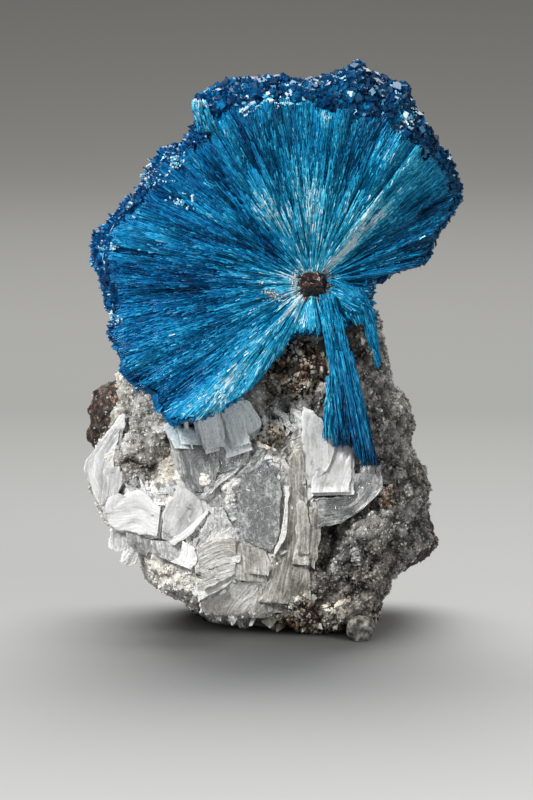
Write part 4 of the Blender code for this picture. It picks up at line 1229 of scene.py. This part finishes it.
def bladeLayer(leftEdge, rightEdge, tone, thickness, lifts, trims, level, seed):
    # a slab between two edge curves: its faces are nearly flat, and its edges are ragged by up to 0.12 mm
    along, across = blades["along"], blades["across"]
    grow = [0.03 * (np.hypot(*np.subtract(leftEdge[k], rightEdge[k])) > 0.5) for k in (0, -1)]
    first, last = trims[2] - grow[0], trims[3] + grow[1]
    v = first + (last - first) * (1 - np.cos(np.linspace(0, 1, along) * np.pi)) / 2
    u = np.linspace(-1, 1, across)
    u = (1 + np.sign(u) * np.abs(u) ** 0.7) / 2
    left, right = smoothPath(leftEdge, v)[:, None], smoothPath(rightEdge, v)[:, None]
    span = (trims[0] + (trims[1] - trims[0]) * u)[None, :, None] * (1 + blades["widen"]) - blades["widen"] / 2
    width = np.linalg.norm(right - left, axis=-1)
    length = np.linalg.norm((left[0] + right[0] - left[-1] - right[-1]) / 2)
    share = np.linspace(0, 1, along)[:, None]
    rows = share * length

    # outline, moved in and out in small steps along the edges
    sides = stacked(rows, np.round(u) * 9, 0.0)
    jag = 0.06 * np.round(2 * smoothNoise(sides, 0.55, seed + 5)) + 0.05 * smoothNoise(sides, 0.22, seed + 6)
    jag = jag * (2 * u - 1) * np.abs(2 * u - 1)
    flat = left + (right - left) * span + unit(right - left) * jag[..., None] - np.array(matrix["centre"])
    x, z = flat[..., 0], flat[..., 1]

    # depth: from the lift at the root to the lift at the tip, tilted sideways, with grooves, steps and crumples
    ends = crustFront(*((flat[[0, -1]].mean(axis=1) * 0.96).T)) - blades["lift"] * np.array(lifts)
    tilt = 0.28 * cornerValue(seed, 4, 0, 9)
    depth = ends[0] + (ends[1] - ends[0]) * share + tilt * (u - 0.5) * np.minimum(width, 3.0)
    line = stacked(u * width + 0.15 * share, 0.16 * rows, 0.0)
    fine, broad = smoothNoise(line, 0.12, seed), smoothNoise(line, 0.40, seed + 1)
    terrace = np.round(2.0 * smoothNoise(line, 0.7, seed + 3)) / 2.0
    crumple = fractalNoise(stacked(x, depth, z), 0.55, seed + 7, 3) * (1.15 - tone)
    relief = 0.03 * fine + 0.04 * broad + 0.08 * (1.15 - tone) * terrace + 0.05 * crumple
    edge = np.sqrt(1 - np.abs(2 * u - 1) ** 30) * np.sqrt(1 - np.abs(2 * share - 1) ** 40)
    half = thickness / 2 * (0.75 + 0.25 * edge)
    front, back = depth - half - level - relief * edge, depth + half - level

    # tone: a painted highlight along the edges, streaked along the blade, and clouded
    rim = np.minimum(np.minimum(u, 1 - u)[None] * width, np.minimum(share, 1 - share) * length)
    # painted highlight: the edges are made near white
    bright = np.clip(0.30 + 0.45 * smoothNoise(sides, 1.1, seed + 8), 0.05, 0.6)
    glare = bright * np.exp(-rim / 0.08) + 0.16 * np.exp(-rim / 0.6)
    cloud = smoothNoise(stacked(x, z, 0.0), 1.1, seed + 2)
    white = tone - blades["darker"] + glare + 0.12 * fine + 0.16 * broad + 0.18 * cloud + 0.20 * crumple
    # across and along each blade, the second squeezed, so that noise on it runs lengthwise
    fibres = stacked((u - 0.5) * width, 0.11 * rows, 1.7 * seed)

    halves = [(x, x), (front, back), (z, z), (white, white), (fibres, fibres)]
    x, depth, z, white, fibres = (np.concatenate([one, other[:, ::-1]], axis=1) for one, other in halves)
    return stacked(x, depth, z).reshape(-1, 3), slabFaces(along, 2 * across), white.ravel(), fibres.reshape(-1, 3)


def makeBlades(name, spec, seed):
    stands, slotName, outlines = spec
    rng = np.random.default_rng(seed)
    parts, used = [], 0
    for leftEdge, rightEdge, tone, thickness, lifts, layers in outlines:
        for layer in range(layers):
            # the layer at the back is whole, and the ones before it are cut back at a side and at the tip
            cut = rng.uniform(*blades["trims"], 4) * (layer > 0)
            trims = (cut[0] * (layer % 2), 1 - cut[1] * (1 - layer % 2), 0.4 * cut[2], 1 - 0.7 * cut[3])
            level = thickness * (layer / layers - 0.3) * blades["layerStep"]
            thick = thickness / layers * 1.15
            parts.append(bladeLayer(leftEdge, rightEdge, tone, thick, lifts, trims, level, seed * 40 + used))
            used += 3
    points, faces, tone, fibres = (list(column) for column in zip(*parts))
    starts = np.cumsum([0] + [len(part) for part in points[:-1]])
    faces = np.concatenate([part + start for part, start in zip(faces, starts)])
    points, tone, fibres = (np.concatenate(column) for column in (points, tone, fibres))
    piece = addPiece(
        name, rockPlace(points, crust), faces, bladeFinishes.get(name, bladeFinish), [stands],
        tone, True, fibres, blades["lowest"],
    )
    piece.data.set_sharp_from_angle(angle=np.radians(blades["sharpAngle"]))
    return points, faces


def shards(spots, rng):
    # flat blades that narrow towards one end, laid facing the front and tilted by up to about 25 degrees
    count = len(spots)
    up = unit([0.0, -1.0, 0.0] + rng.normal(0, 0.28, (count, 3)))
    along = unit(np.cross(up, rng.normal(size=(count, 3)) * [1.0, 1.0, 0.5]))
    side = np.cross(up, along)
    length = rng.uniform(*blades["shardLengths"], count)
    width = length * rng.uniform(*blades["shardWidths"], count)
    size = stacked(length, width, rng.uniform(*blades["shardThickness"], count)) / 2
    corners = np.repeat(block[0][None], count, axis=0)
    corners[..., 1] *= 1 - (corners[..., 0] > 0) * rng.uniform(0.1, 0.8, (count, 1))
    corners = corners * size[:, None]
    corners[..., 0] += corners[..., 1] * rng.uniform(-0.7, 0.7, (count, 1))
    fibres = corners[..., [1, 0, 2]] * [1.0, 0.07, 1.0] + np.arange(count)[:, None, None] * [0.0, 0.0, 2.3]
    turned = np.einsum("nkj,njc->nkc", corners, np.stack([along, side, up], axis=1)) + spots[:, None]
    return *copies(turned, block[1]), fibres.reshape(-1, 3)


def makeShards(points, faces, nodes):
    rng = np.random.default_rng(43)
    count = blades["shards"]
    fronts, out = scatter(points, faces, 6 * count, rng)
    footAcross, footUp, footRadius = blades["shardFoot"]
    low = np.hypot(fronts[:, 0] - footAcross, fronts[:, 2] - footUp) < footRadius
    fronts = fronts[(out[:, 1] < -0.75) & low][: count // 3]
    across, up, radius = np.array(blades["shardPlaces"])[rng.integers(0, len(blades["shardPlaces"]), count)].T
    turn, far = rng.uniform(0, 2 * np.pi, count), radius * np.sqrt(rng.random(count))
    across, up = across + far * np.cos(turn), up + far * np.sin(turn)
    rim = matrix["radius"] * tableAt(matrix["rim"], angleOf(across, up))
    beds = stacked(across, crustFront(across, up) - rng.uniform(-0.1, 0.45, count), up)
    spots = np.concatenate([fronts, beds[np.hypot(across, up) < 0.80 * rim]])
    body, pieces, fibres = shards(spots, rng)
    tone = rng.uniform(0.35, 1.0, len(spots))
    addPiece(
        "bladeShards", rockPlace(body, crust), pieces, bladeFinish, nodes, tone,
        fibres=fibres, lowest=blades["lowest"],
    )


def makeSugar(points, faces, nodes):
    # tiny crystals in patches on the fronts of the blades
    rng = np.random.default_rng(37)
    spots, out = scatter(points, faces, 6 * blades["sugarGrains"], rng)
    patches = smoothNoise(spots, 1.8, 97) + 0.6 * smoothNoise(spots, 0.5, 98)
    keep = (np.abs(out[:, 1]) > 0.7) & (spots[:, 1] < 0) & (patches > rng.uniform(-0.2, 0.9, len(spots)))
    spots = spots[keep][: blades["sugarGrains"]]
    sizes = rng.uniform(*blades["sugarSizes"], len(spots))
    body, pieces = grains(bead, rockPlace(spots - [0, 0.02, 0], crust), sizes, rng)
    tone = rng.uniform(0.6, 1.0, len(spots))
    addPiece("bladeSugar", body, pieces, bladeFinish, nodes, tone, lowest=0.1)


slabs = [makeBlades(name, spec, 120 + order) for order, (name, spec) in enumerate(bladeGroups.items())]
slabStarts = np.cumsum([0] + [len(points) for points, _ in slabs])
allSlabs = (
    np.concatenate([points for points, _ in slabs]),
    np.concatenate([faces + start for (_, faces), start in zip(slabs, slabStarts)]),
    [spec[0] for spec in bladeGroups.values()],
)
makeSugar(*allSlabs)
makeShards(*allSlabs)
print("stilbite made")

# Floor, backdrop, lights and camera, in metres, but for the pixel and the focus of the camera in millimetres.

studio = {
    # (depth, grey, warmth) of the paper: the grey falls from the front to the wall, a painted shade for the light
    # falling off
    "paintedShadeGreys": ((-0.06, 0.74, 0.01), (0.0, 0.49, 0.015), (0.10, 0.24, 0.035), (0.42, 0.128, 0.09)),
    "wallAt": 0.42, "wallHeight": 0.6, "halfWidth": 0.8, "bend": 0.15,
    "air": (0.75, 0.78, 0.80, 1), "airLight": 0.18,
    # name: (place, what it shines on, size, watts)
    "lights": {
        "keyUpperLeft": ((-0.16, -0.17, 0.20), (0.0, -0.003, 0.024), (0.07, 0.07), 1.05),
        "fillRight": ((0.22, -0.16, 0.10), (0.0, -0.003, 0.024), (0.14, 0.14), 0.20),
        "overBack": ((0.0, 0.20, 0.26), (0.0, -0.02, 0.0), (0.38, 0.25), 1.75),
    },
    "pixel": 0.081,  # millimetres for one pixel of the photograph
    "imageWidth": 533, "imageHeight": 800, "originPixel": (285, 628), "distance": 0.42, "focus": -5.0,
    "sensor": 24.0,
}


def makeBackdrop():
    # a sheet that runs along the floor and turns up behind: the turn is a quarter circle
    turn = np.linspace(0, np.pi / 2, 24)
    radius, wall, half = studio["bend"], studio["wallAt"], studio["halfWidth"]
    y = np.concatenate([[-half], wall - radius + radius * np.sin(turn), [wall]])
    z = np.concatenate([[0.0], radius - radius * np.cos(turn), [studio["wallHeight"]]])
    points = np.stack([np.tile([-half, half], len(y)), np.repeat(y, 2), np.repeat(z, 2)], axis=-1)
    row = np.arange(len(y) - 1) * 2
    mesh = bpy.data.meshes.new("backdrop")
    mesh.from_pydata(points, [], np.stack([row, row + 1, row + 3, row + 2], axis=1))
    mesh.polygons.foreach_set("use_smooth", np.full(len(row), True))
    finish, tree, shader = newFinish("backdropPaper")
    first, last = studio["paintedShadeGreys"][0][0], studio["paintedShadeGreys"][-1][0]
    stops = [
        ((y - first) / (last - first), (grey, grey * (1 - 0.25 * warm), grey * (1 - warm) * 0.98))
        for y, grey, warm in studio["paintedShadeGreys"]
    ]
    # painted shade: the paper darkens with depth towards the wall
    paper = colourOf(tree, spreadOf(tree, axisOf(tree, "Y"), first, last, 0.0, 1.0), stops)
    tree.links.new(paper, shader.inputs["Base Color"])
    fill(shader, {"Roughness": 0.9})
    mesh.materials.append(finish)
    backdrop = bpy.data.objects.new("backdrop", mesh)
    bpy.context.scene.collection.objects.link(backdrop)
    return backdrop


def addLight(name, place, aim, size, watts):
    data = bpy.data.lights.new(name, "AREA")
    data.shape = "RECTANGLE"
    data.size, data.size_y = size
    data.energy = watts
    light = bpy.data.objects.new(name, data)
    light.location = place
    light.rotation_euler = (Vector(aim) - Vector(place)).to_track_quat("-Z", "Y").to_euler()
    bpy.context.scene.collection.objects.link(light)
    return light


def makeStudio():
    backdrop = makeBackdrop()
    lights = {name: addLight(name, *spec) for name, spec in studio["lights"].items()}
    flagged = bpy.data.collections.new("flaggedFromKey")  # the key light is kept off the paper
    flagged.objects.link(backdrop)
    lights["keyUpperLeft"].light_linking.receiver_collection = flagged
    flagged.collection_objects[0].light_linking.link_state = "EXCLUDE"
    world = bpy.data.worlds.new("studioAir")
    bpy.context.scene.world = world
    world.use_nodes = True
    fill(world.node_tree.nodes["Background"], {"Color": studio["air"], "Strength": studio["airLight"]})


def makeCamera():
    # the middle of the photograph is found from the pixel of the origin, and the lens from the frame's height
    pixel, height, distance = studio["pixel"], studio["imageHeight"], studio["distance"]
    middleAcross = (studio["imageWidth"] / 2 - studio["originPixel"][0]) * pixel
    middleUp = (studio["originPixel"][1] - height / 2) * pixel
    target = seenAt(middleAcross, middleUp, studio["focus"]) * millimetre
    camera = bpy.data.cameras.new("camera")
    camera.sensor_fit = "VERTICAL"
    camera.sensor_height = studio["sensor"]
    camera.lens = studio["sensor"] * distance / (height * pixel * millimetre)
    camera.clip_start, camera.clip_end = 0.01, 5.0
    holder = bpy.data.objects.new("camera", camera)
    holder.location = target + distance * np.array([0.0, -cosLean, sinLean])
    holder.rotation_euler = (np.pi / 2 - lean, 0.0, 0.0)
    bpy.context.scene.collection.objects.link(holder)
    bpy.context.scene.camera = holder
    bpy.context.scene.view_settings.view_transform = "Standard"


makeStudio()
makeCamera()
print("studio made")
